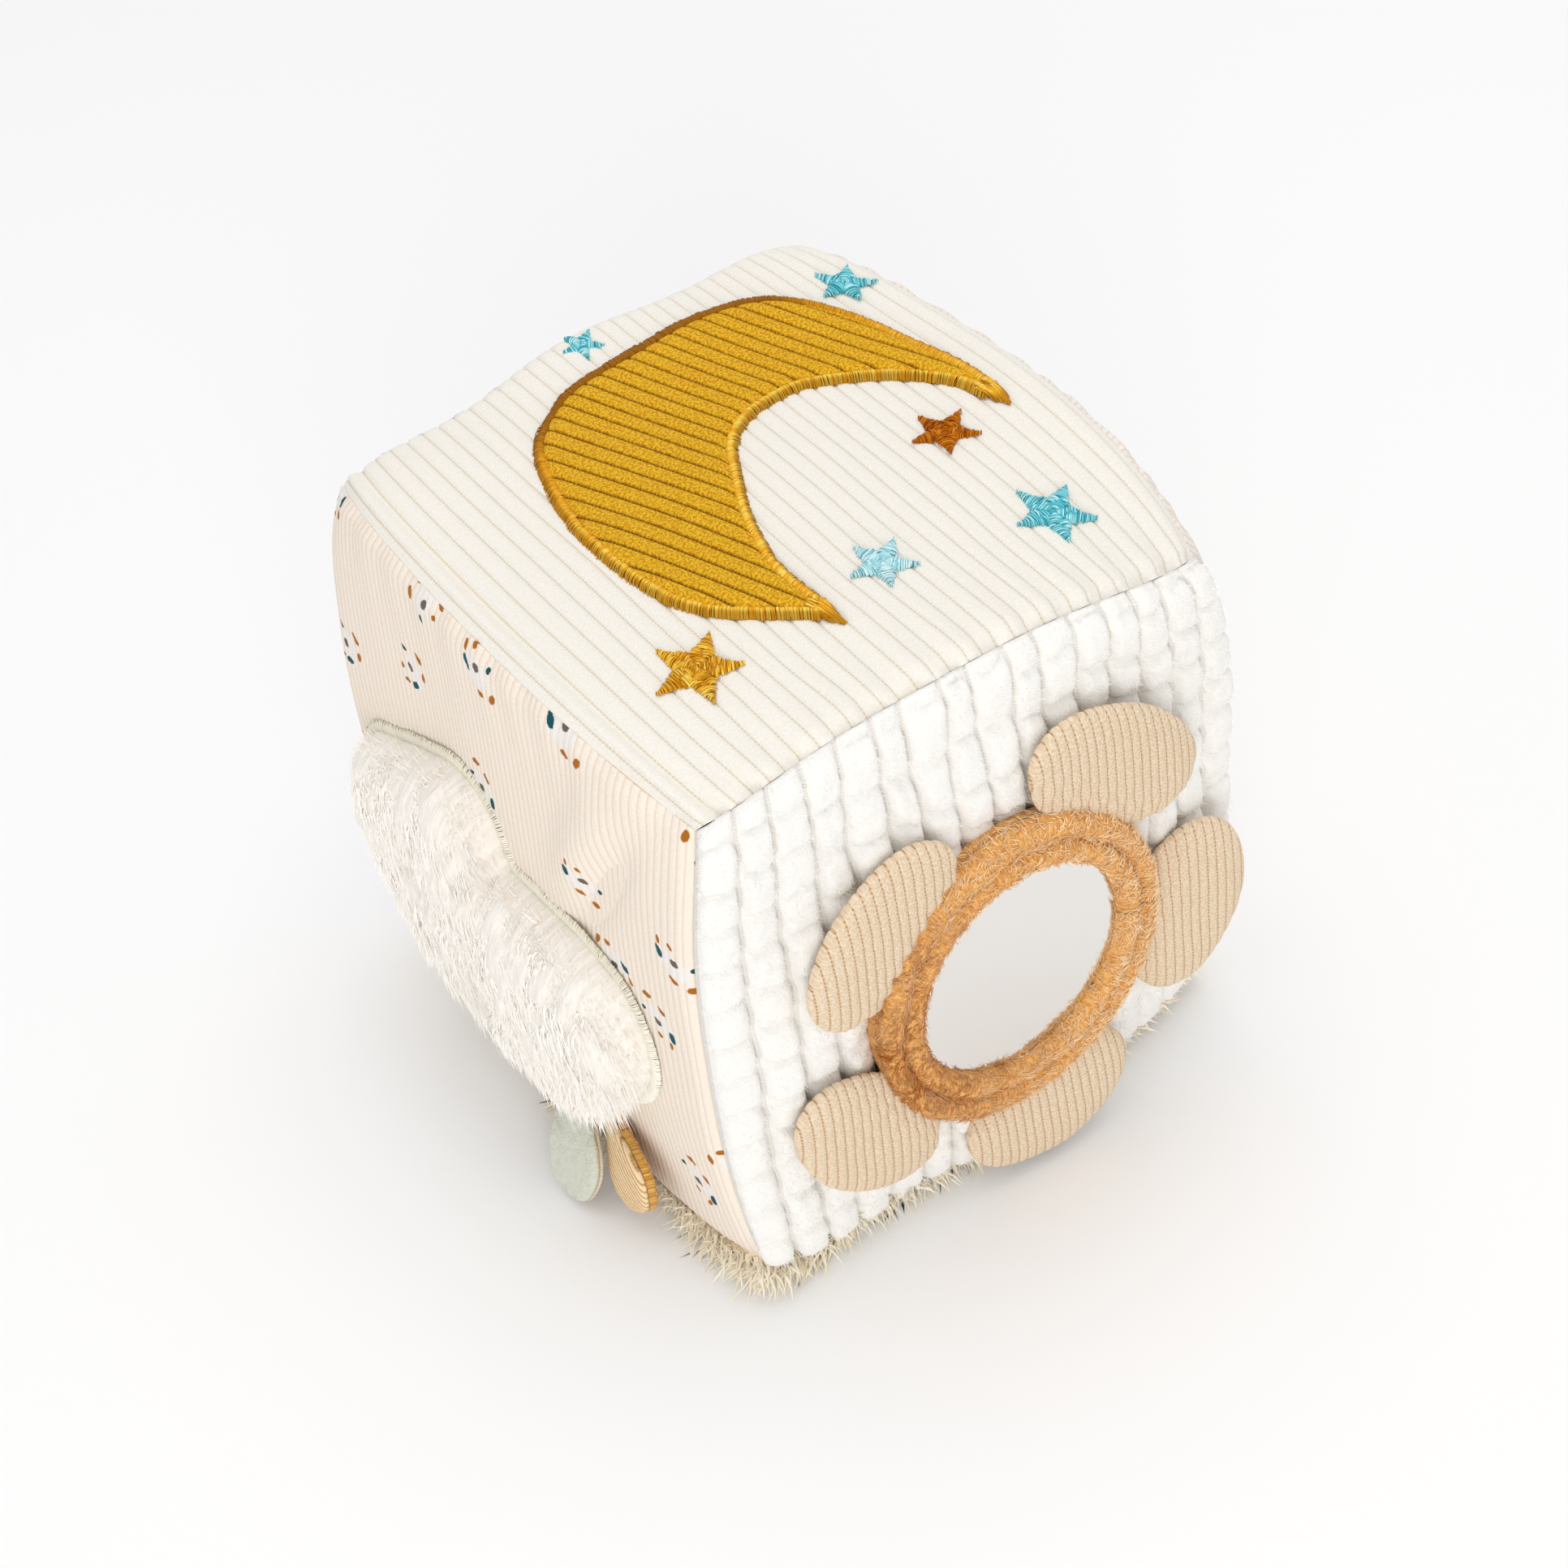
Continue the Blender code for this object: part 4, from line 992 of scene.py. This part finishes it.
STAR_LOOKS = {"star_gold": GOLD_THREAD, "star_brown": BROWN_THREAD, "star_light_blue": BLUE_THREAD}
for seed, (name, place, turn, radius) in enumerate(STARS, start=70):
    star(name, place, turn, radius, STAR_LOOKS.get(name, TEAL_THREAD), seed)


# Cloud

CLOUD_OUTLINE = smooth_outline(CLOUD_SHARES, CLOUD_NOTCH) * HALF


def cloud_inward(x, y):
    return edge_distance(x, y, CLOUD_OUTLINE)


def cloud_height(x, y):
    inward = np.maximum(cloud_inward(x, y), 0)
    height = 0.0010 + 0.0130 * rounded(inward / 0.015)
    for tuft in CLOUD_TUFTS:
        distance = np.hypot(x - tuft[0] * HALF, y - tuft[1] * HALF)
        height = height - 0.0060 * bell(distance, 0.0048) * rounded(inward / 0.01)
    return height


def cloud_surface(x, y, height):
    """Points of the cloud's pile, which hangs over its lower edge, and the face's normals."""
    points, normal = on_face("left", x, y, height)
    hang = 0.0075 * bell(y + 0.042, 0.014) * np.clip(height / 0.008, 0, 1)
    return points - hang[..., None] * np.array((0, 0, 1)), normal


def cloud_shape():
    """The stuffed body of the cloud, with the lumps of its pile."""
    edge, _ = even_outline(CLOUD_OUTLINE, 0.0007)
    places = fan(edge, np.array(CLOUD_MIDDLE) * HALF, 84)
    x, y = places[..., 0], places[..., 1]
    drift = x - 0.25 * y
    lumps = 0.0008 * noise(drift / 0.0042, y / 0.008, 81)
    lumps = lumps + 0.0006 * noise(drift / 0.0018, y / 0.0055, 82)
    outer, _ = cloud_surface(x, y, cloud_height(x, y) * 0.93 + lumps)
    inner, _ = on_face("left", x, y, 0.0002)
    return fanned_slab(outer, inner, places)


def cloud_fur(name, spacing, seed, length, radius, spread=0.16, outwards=1.1, rim=1.0):
    """Long pile that falls down the cloud and a little to the front, in soft locks."""
    rng = np.random.default_rng(seed)
    low, high = CLOUD_OUTLINE.min(0), CLOUD_OUTLINE.max(0)
    count = int(np.prod(high - low) / spacing**2)
    places = np.random.default_rng(seed).uniform(low, high, (count, 2))
    inward = cloud_inward(*places.T)
    within = (inward > 0) & (inward < rim)
    places, inward = places[within], inward[within]
    x, y = places.T
    roots, normal = cloud_surface(x, y, cloud_height(x, y) * 0.91)
    lock = noise(x / 0.005, y / 0.007, seed + 1)[:, None]
    side_lock = noise(x / 0.006, y / 0.005, seed + 2)[:, None]
    fall = np.array([0, -0.35, -1.0]) + side_lock * (0, 0.8, 0.1)
    fall = along_surface(fall + rng.normal(0, spread, roots.shape), normal)
    nudge = 0.0004
    slope_x = (cloud_inward(x + nudge, y) - inward) / nudge
    slope_y = (cloud_inward(x, y + nudge) - inward) / nudge
    outward = np.stack([0 * x, slope_x, -slope_y], 1)
    near_rim = np.exp(-inward / 0.0034)[:, None]
    fall = fall + outwards * near_rim * outward
    for tuft in CLOUD_TUFTS:
        gap = np.array(tuft) * HALF - places
        distance = np.linalg.norm(gap, axis=1, keepdims=True)
        toward = np.concatenate([0 * distance, -gap[:, :1], gap[:, 1:]], 1)
        fall = fall + 1.5 * bell(distance, 0.006) * toward / np.maximum(distance, 1e-5)
    size = length * rng.uniform(0.75, 1.15, (len(roots), 1)) * (1 + 0.15 * lock)
    size = size * (1 - 0.35 * near_rim * np.clip(outward[:, 2:] + 0.6, 0, 1))
    stand = normal * size * (0.17 + 0.10 * lock)
    fur = fibres(roots, stand, unit(fall) * size * 0.92, radius, 5, seed)
    piece(name, fur, PILES["white_fur"], smooth=False)


piece("cloud_body", cloud_shape(), GROUNDS["white_fur"], replaces=["cloud_fur"])
cloud_fur("cloud_locks", 0.0021, 81, 0.0060, 0.00034)
cloud_fur("cloud_pile", 0.0013, 83, 0.0050, 0.00015, spread=0.4)
cloud_fur("cloud_pile_long", 0.0024, 87, 0.0075, 0.00013, spread=0.3)
cloud_fur("cloud_rim", 0.0009, 89, 0.0036, 0.00017, spread=0.3, outwards=2.4, rim=0.0045)
satin_border(
    "cloud_stitches", "left", CLOUD_OUTLINE, 0.0026, 0.0006, GREEN_THREAD, ["cloud_border"], 91,
)


# Flower

low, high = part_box("mirror")
FLOWER = Matrix.Translation(((low.x + high.x) / 2, low.y + MIRROR_HEIGHT, (low.z + high.z) / 2))
FLOWER = FLOWER @ Matrix.Rotation(math.pi / 2, 4, "X")


def moved(matrix, points):
    """The points, and directions where the matrix has no shift, through a matrix."""
    matrix = np.array(matrix)
    return points @ matrix[:3, :3].T + matrix[:3, 3]


def placed(matrix, shape):
    return moved(matrix, shape[0]), *shape[1:]


def plush_level(x, y):
    """Height of the plush under a place of the flower's plane."""
    flower_z = FLOWER.translation.z - CENTRE_HEIGHT
    across, up = x / HALF, (y + flower_z) / HALF
    for _ in range(6):
        place_x, place_y, _ = crowned(across, up)
        across, up = across + (x - place_x) / HALF, up + (y + flower_z - place_y) / HALF
    depth = crowned(across, up)[2] + PUFF + round_flower(x, y + FLOWER_UP)
    return depth + FLOWER.translation.y


def roll(name, inner, width, top, squeeze, seed):
    """Stuffed roll of short plush: a lumpy body and the pile on it."""
    rng = np.random.default_rng(seed)
    radius = width / 2
    middle = inner + radius

    def surface(turn, section):
        thick = radius * (1 - squeeze * np.cos(turn) ** 2)
        centre = inner + thick
        wide, high = np.cos(turn) * RING_OVAL[0], np.sin(turn) * RING_OVAL[1]
        floor = plush_level(centre * wide, centre * high) - ROLL_SINK
        upper = np.sin(section) > 0
        lift = np.where(upper, thick, top - thick - floor) * np.sin(section)
        swell = 1 + 0.055 * noise(turn * 9, section * 1.2, seed)
        swell = swell + 0.03 * noise(turn * 30, section * 3, seed + 1)
        swell = swell + 0.03 * noise(turn * 55, section * 6, seed + 2)
        out = centre + thick * np.cos(section) * swell
        height = top - thick + lift * np.where(upper, swell, 1)
        return np.stack([out * wide, out * high - RING_DROP, height], -1)

    turn, section = np.meshgrid(
        *(np.linspace(0, TURN, count, endpoint=False) for count in (300, 36)), indexing="ij",
    )
    body = looped(surface(turn, section), turn * middle / MM, section * radius / MM)
    piece(
        name + "_body", placed(FLOWER, body), GROUNDS["camel_plush"], replaces=[name],
    )
    count = int(TURN * middle * math.pi * radius * 1.25 / ROLL_PILE_SPACING**2)
    turn = rng.uniform(0, TURN, count)
    section = rng.uniform(-0.35, math.pi + 0.35, count)
    roots = surface(turn, section)
    out = unit(surface(turn, section + 0.05) - roots)
    around = unit(surface(turn + 0.02, section) - roots)
    normal = unit(np.cross(around, out))
    comb = -out * 0.25 + around * (0.35 + 1.1 * noise(turn * 9, section * 1.5, seed + 3))[:, None]
    comb = unit(along_surface(comb + rng.normal(0, 0.28, roots.shape), normal))
    size = ROLL_PILE_LENGTH * rng.uniform(0.6, 1.2, (count, 1))
    size = size * (1 + 0.3 * noise(turn * 12, section * 3, seed + 4))[:, None]
    upright = FLOWER.to_3x3().to_4x4()
    fur = fibres(
        moved(FLOWER, roots - normal * 0.0002), moved(upright, normal) * size * 0.26,
        moved(upright, comb) * size * 0.9, ROLL_PILE_RADIUS, 4, seed,
    )
    # Painted shade: nap darkens the pile round ROLL_SHADE_SIDE, the side away from the light, mixed
    # with a random tone per fibre.
    nap = 1 - (0.5 + 0.5 * np.cos(turn - ROLL_SHADE_SIDE)) ** 3
    nap = nap + 0.25 * noise(turn * 7, section, seed + 5)
    shade = np.clip(0.65 * nap + rng.uniform(0, 0.35, count), 0, 1)
    fur[2][:, 0] = np.repeat(shade, len(fur[2]) // count)
    piece(name + "_pile", fur, PILES["camel_plush"], smooth=False)


roll("frame_roll", *FRAME_ROLL, 0.0, 101)
roll("rim_roll", *RIM_ROLL, 0.3, 111)


def disc(top, bottom, rings, count):
    """Closed slab as wide as the mirror; top and bottom give heights over flat places."""
    turn = np.linspace(0, TURN, count, endpoint=False)
    edge = MIRROR_RADIUS * np.stack([np.cos(turn), np.sin(turn)], 1)
    places = fan(edge, np.zeros(2), rings)[:-1]
    x, y = places[..., 0], places[..., 1]
    upper, lower = (np.dstack([x, y, height(x, y) + 0 * x]) for height in (top, bottom))
    return placed(FLOWER, fanned_slab(upper, lower, places, capped=True))


def mirror_top(x, y):
    wave = 0.00006 * noise(x / 0.012, y / 0.016, 121)
    return MIRROR_HEIGHT + wave * (1 - np.hypot(x, y) / MIRROR_RADIUS)


def wadding_bottom(x, y):
    return plush_level(x, y) + 0.0003 - 0.0002 * noise(x / 0.003, y / 0.003, 122)


film = disc(mirror_top, lambda x, y: MIRROR_HEIGHT - MIRROR_THICK, 24, 96)
piece("mirror_sheet", film, SILVER, replaces=["mirror"])
pad = disc(lambda x, y: MIRROR_HEIGHT - MIRROR_THICK - 0.0004, wadding_bottom, 10, 64)
piece("mirror_wadding", pad, WADDING, replaces=["mirror_pad"])


def chords(outline, columns, rows):
    """Flat places in columns that each span a rounded outline from side to side."""
    first, last = np.argmin(outline[:, 0]), np.argmax(outline[:, 0])
    loop = np.roll(outline, -first, 0)
    split = (last - first) % len(outline)
    lower, upper = loop[: split + 1], np.vstack([loop[split:], loop[:1]])[::-1]
    start, end = outline[first, 0] + 2e-5, outline[last, 0] - 2e-5
    columns = np.concatenate([[start], columns[(columns > start) & (columns < end)], [end]])
    low_y = np.interp(columns, lower[:, 0], lower[:, 1])
    high_y = np.interp(columns, upper[:, 0], upper[:, 1])
    share = (1 - np.cos(np.linspace(0, math.pi, rows)))[:, None] / 2
    return np.broadcast_to(columns, (rows, len(columns))), low_y + (high_y - low_y) * share


def blended(made, name, hinge, start, end):
    """Bakes a piece's placement into its mesh; two places along the hinge frame's x are worked out,
    but the piece is not bent.
    """
    start, end = (hinge @ Vector((place, 0, 0)) for place in (start, end))
    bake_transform(made)


def petal(name, direction, tilt, tuck, swing, widen, seed):
    """Padded petal: wales run up the block whichever way the petal points."""
    turn, tuck = math.radians(direction), tuck * MM
    place = Vector((*turned(HINGE_RADIUS, 0, turn), PETAL_HEIGHT))
    hinge = FLOWER @ Matrix.Translation(place) @ Matrix.Rotation(turn, 4, "Z")
    hinge = hinge @ Matrix.Rotation(-math.radians(tilt), 4, "Y")
    half = np.array(PETAL_HALF_MM) * MM
    outline = np.vstack([half, half[1:-1][::-1] * (1, -1)]) * (1, widen)
    x, y = smooth_outline(outline, steps=12).T
    x, y = turned(x + HINGE_RADIUS - tuck, y, math.radians(swing))
    upright = np.stack(turned(x - HINGE_RADIUS, y, turn), 1)
    x, y = chords(upright, wale_places(-24, 49, PETAL_WALE, RIB_PLACES), 54)
    inward = np.maximum(edge_distance(x, y, upright), 0)
    out, side = turned(x, y, -turn)
    thick = PETAL_THICK / 2 - PETAL_RIM_THICK
    thick = PETAL_RIM_THICK + thick * rounded(inward / PETAL_EDGE_RUN)
    thick = thick * (1 - 0.25 * bell(out + tuck + 0.003, 0.005))
    thick = thick - 0.00032 * groove(x / MM, PETAL_WALE, WALE_GROOVE)
    swell = 0.0005 * noise(out / 0.011, side / 0.011, seed)
    pucker = 0.0004 * np.cos(side / 0.0009) * np.exp(-np.abs(out + tuck - 0.001) / 0.0035)
    reach = np.clip(out, 0, 1) / PETAL_LENGTH
    droop = -0.0016 * reach**2 - 0.0012 * (side / 0.023) ** 2 * reach
    upper = np.stack([out, side, droop + thick + swell + pucker], -1)
    shape = slab(upper, np.stack([out, side, droop - thick], -1), x, y)
    made = piece(
        name + "_padded", placed(hinge, shape), TAN, body=None, replaces=[name],
    )
    blended(made, name, hinge, -PETAL_BEND, PETAL_BEND)


for seed, shape in enumerate(PETALS, start=130):
    petal(*shape, seed)


# Raindrop tabs: for each layer its name, look, and the depth of its nap and its thickness in metres

DROP_LAYERS = {
    "raindrop_sage": (("face", SAGE, 0.0003, 0.0014), ("back", LINING, 0.00005, 0.0014)),
    "raindrop_tan": (("face", STRIPED, 0.000075, 0.0014), ("back", TERRY, 0.000175, 0.0028)),
}


def raindrop(name, turn, splay, twist, longer, bow, shift, seed):
    """Two cloth layers that hang from the cloud, sewn together round their edge."""
    joint = next(joint for joint in frame["joints"] if joint["child"] == name)
    downward = Vector((0, -math.sin(math.radians(turn)), -math.cos(math.radians(turn))))
    out = Vector((-1, 0, 0))
    upright = Matrix((downward, -downward.cross(out), out)).transposed().to_4x4()
    place = Vector(joint["pos_m"]) + Vector(joint["axis"]) * shift * MM
    hinge = Matrix.Translation(place) @ upright @ Matrix.Rotation(-math.radians(splay), 4, "Y")
    half = np.array(DROP_HALF_MM) * MM
    outline = np.vstack([half, half[:-1][::-1] * (1, -1)])
    outline = smooth_outline(outline, corners=(0, 12), steps=10)
    x, y = chords(outline, np.linspace(outline[:, 0].min(), outline[:, 0].max(), 70), 40)
    inward = np.maximum(edge_distance(x, y, outline), 0)
    share = x / DROP_HALF_MM[-1][0] / MM
    bend = bow * MM * 4 * share * (1 - share) + 0.0009 * np.sin(y / 0.0087 * 1.2 + 0.4) * share
    wring = math.radians(twist) * np.clip(x / 0.012, 0, 1)
    for side, (layer, look, nap, thick) in zip((1, -1), DROP_LAYERS[name]):
        grain = nap * noise(x / 0.0012, y / 0.0007, seed + side)
        if look is STRIPED:
            grain = -0.00018 * groove(y / MM, STRIPE, RIB_GROOVE)
        far = 0.00015 + thick * rounded((inward + 0.0003) / 0.0016) + grain
        sheets = []
        for away in (far, 0.0001)[::side]:
            sheets.append(np.stack([x * longer, *turned(y, bend + side * away, -wring)], -1))
        made = piece(
            f"{name}_{layer}_cloth", placed(hinge, slab(*sheets, y, x)), look, body=None,
            replaces=[f"{name}_{layer}"],
        )
        blended(made, name, hinge, *DROP_BEND)


for seed, drop in enumerate(DROPS, start=150):
    raindrop(*drop, seed)


# Curly pile of the base, which shows along the lower edges

def base_pile(name, count, radius, seed):
    rng = np.random.default_rng(seed)
    inward = np.abs(rng.normal(0, 0.005, count))
    along = rng.uniform(-1, 1, count)
    side = rng.integers(0, 4, count)
    rim = HALF - np.minimum(inward, 0.03)
    x = np.choose(side, [rim, -rim, along * rim, along * rim])
    y = np.choose(side, [along * rim, along * rim, rim, -rim])
    roots, normal = on_face("base", x, y, 0.001)
    flat_out = unit(np.stack([x, -y, 0 * x], -1))
    lock = noise(x / 0.005, y / 0.005, seed + 1)[:, None]
    size = 0.0092 * rng.uniform(0.6, 1.15, (count, 1)) * (1 + 0.35 * lock)
    size = size * (1 - 0.45 * smooth_step(x, 0.02, 0.05))[:, None]
    away = np.exp(-inward / 0.009)[:, None]
    lie = flat_out * (0.35 + 0.85 * away) + rng.normal(0, 0.35, roots.shape) + (0, 0, 0.12)
    fur = fibres(roots, normal * size * 0.2, unit(lie) * size * 0.95, radius, 7, seed, curl=0.0009)
    piece(name, fur, PILES["cream_fur"], smooth=False)


base_pile("base_locks", 4500, 0.00085, 160)
base_pile("base_pile", 4500, 0.00040, 162)


# Filling inside, parted at the rattle

def filling(name, side):
    """One half of the fibre filling, with its half of the rattle's hollow."""
    turn, rise = np.meshgrid(np.linspace(0, TURN, 96, endpoint=False), np.linspace(0, 1, 30))
    rise = rise * math.pi / 2 * 0.995
    level = np.cos(rise)
    aim = np.stack([level * np.cos(turn), level * np.sin(turn), side * np.sin(rise)], -1)
    cube = aim / np.abs(aim).max(-1, keepdims=True)
    outer = np.zeros(cube.shape)
    for face, (*flat_axes, out) in FACES.items():
        here = cube @ np.array(out) > 1 - 1e-9
        places = [np.clip(cube @ np.array(axis), -1, 1) for axis in flat_axes]
        found = cushion(face, *(np.sin(place * math.pi / 2) for place in places), -0.0034)
        outer[here] = found[here]
    lumps = 0.0012 * (noise(turn * 9, rise * 9, 171) - 1)
    outer = outer + aim * lumps[..., None]
    hollow = aim * 0.0198 + (0, 0, CENTRE_HEIGHT)
    for shell in (outer, hollow):
        height = np.maximum(side * (shell[..., 2] - CENTRE_HEIGHT), 0.00015)
        height[0] = 0.00015
        shell[..., 2] = CENTRE_HEIGHT + side * height
    points, faces, _ = fanned_slab(outer, hollow, turn, capped=True)
    faces = [group[:, ::side] for group in faces]
    shape = points, faces, points[:, :2] / MM
    piece(name + "_fibre", shape, FIBRE, replaces=[name])


filling("filling_upper", 1)
filling("filling_lower", -1)


def plastic(name, roughness, colour, size, deep):
    look = Look(name, roughness, Base_Color=rgb(*colour))
    place = look.node("ShaderNodeTexCoord").outputs["Object"]
    look.bump(look.noise(size, 2.0, place), deep)
    return look


RATTLE = plastic("rattle_plastic", 0.4, (226, 226, 224), 0.0015, 0.00005)
BEAD = plastic("bead_plastic", 0.3, (214, 120, 92), 0.001, 0.00003)
for name, node in frame["nodes"].items():
    if name.startswith("rattle_"):
        node.data.materials.clear()
        node.data.materials.append((BEAD if "bead" in name else RATTLE).material)


# Floor, light and camera

FLOOR_REACH = 6.0
LAMP_TARGET = Vector((0, 0, 0.07))
WORLD_STRENGTH = 0.70
IMAGE_SIDE = 1932
SENSOR_WIDTH = 36
FOCAL_PIXELS = 3581
CAMERA_PLACE = Vector((-0.26073, -0.44308, 0.54983))
CAMERA_FORWARD = Vector((0.36393, 0.62656, -0.68919))
CAMERA_UP = Vector((0.45233, 0.52793, 0.71881))


def floor():
    look = Look("paper_floor", 1.0, Specular_IOR_Level=0.0)
    look.colour(look.mix(look.noise(60.0, 1.0), rgb(249, 249, 249), rgb(248, 248, 248)))
    mesh = bpy.data.meshes.new("floor")
    corners = ((-1, -1), (1, -1), (1, 1), (-1, 1))
    mesh.from_pydata([(x * FLOOR_REACH, y * FLOOR_REACH, 0) for x, y in corners], [], [range(4)])
    mesh.materials.append(look.material)
    made = bpy.data.objects.new("floor", mesh)
    bpy.context.scene.collection.objects.link(made)


def lamp(name, place, size, power):
    light = bpy.data.lights.new(name, "AREA")
    light.size = size
    light.energy = power
    made = bpy.data.objects.new(name, light)
    made.location = place
    made.rotation_euler = (LAMP_TARGET - Vector(place)).to_track_quat("-Z", "Y").to_euler()
    bpy.context.scene.collection.objects.link(made)


floor()
lamp("key", (0.25, 0.2, 1.5), 1.4, 7.8)
lamp("fill", (-0.75, -1.2, 0.5), 0.9, 7.0)
world = bpy.data.worlds.new("studio")
world.use_nodes = True
world.node_tree.nodes["Background"].inputs["Color"].default_value = (1, 1, 1, 1)
world.node_tree.nodes["Background"].inputs["Strength"].default_value = WORLD_STRENGTH
bpy.context.scene.world = world
bpy.context.scene.view_settings.view_transform = "Standard"

camera = bpy.data.cameras.new("camera")
camera.sensor_width = SENSOR_WIDTH
camera.lens = FOCAL_PIXELS * SENSOR_WIDTH / IMAGE_SIDE
camera.clip_start = 0.01
view = bpy.data.objects.new("camera", camera)
axes = Matrix((CAMERA_FORWARD.cross(CAMERA_UP), CAMERA_UP, -CAMERA_FORWARD)).transposed().to_4x4()
view.matrix_world = Matrix.Translation(CAMERA_PLACE) @ axes
bpy.context.scene.collection.objects.link(view)
bpy.context.scene.camera = view
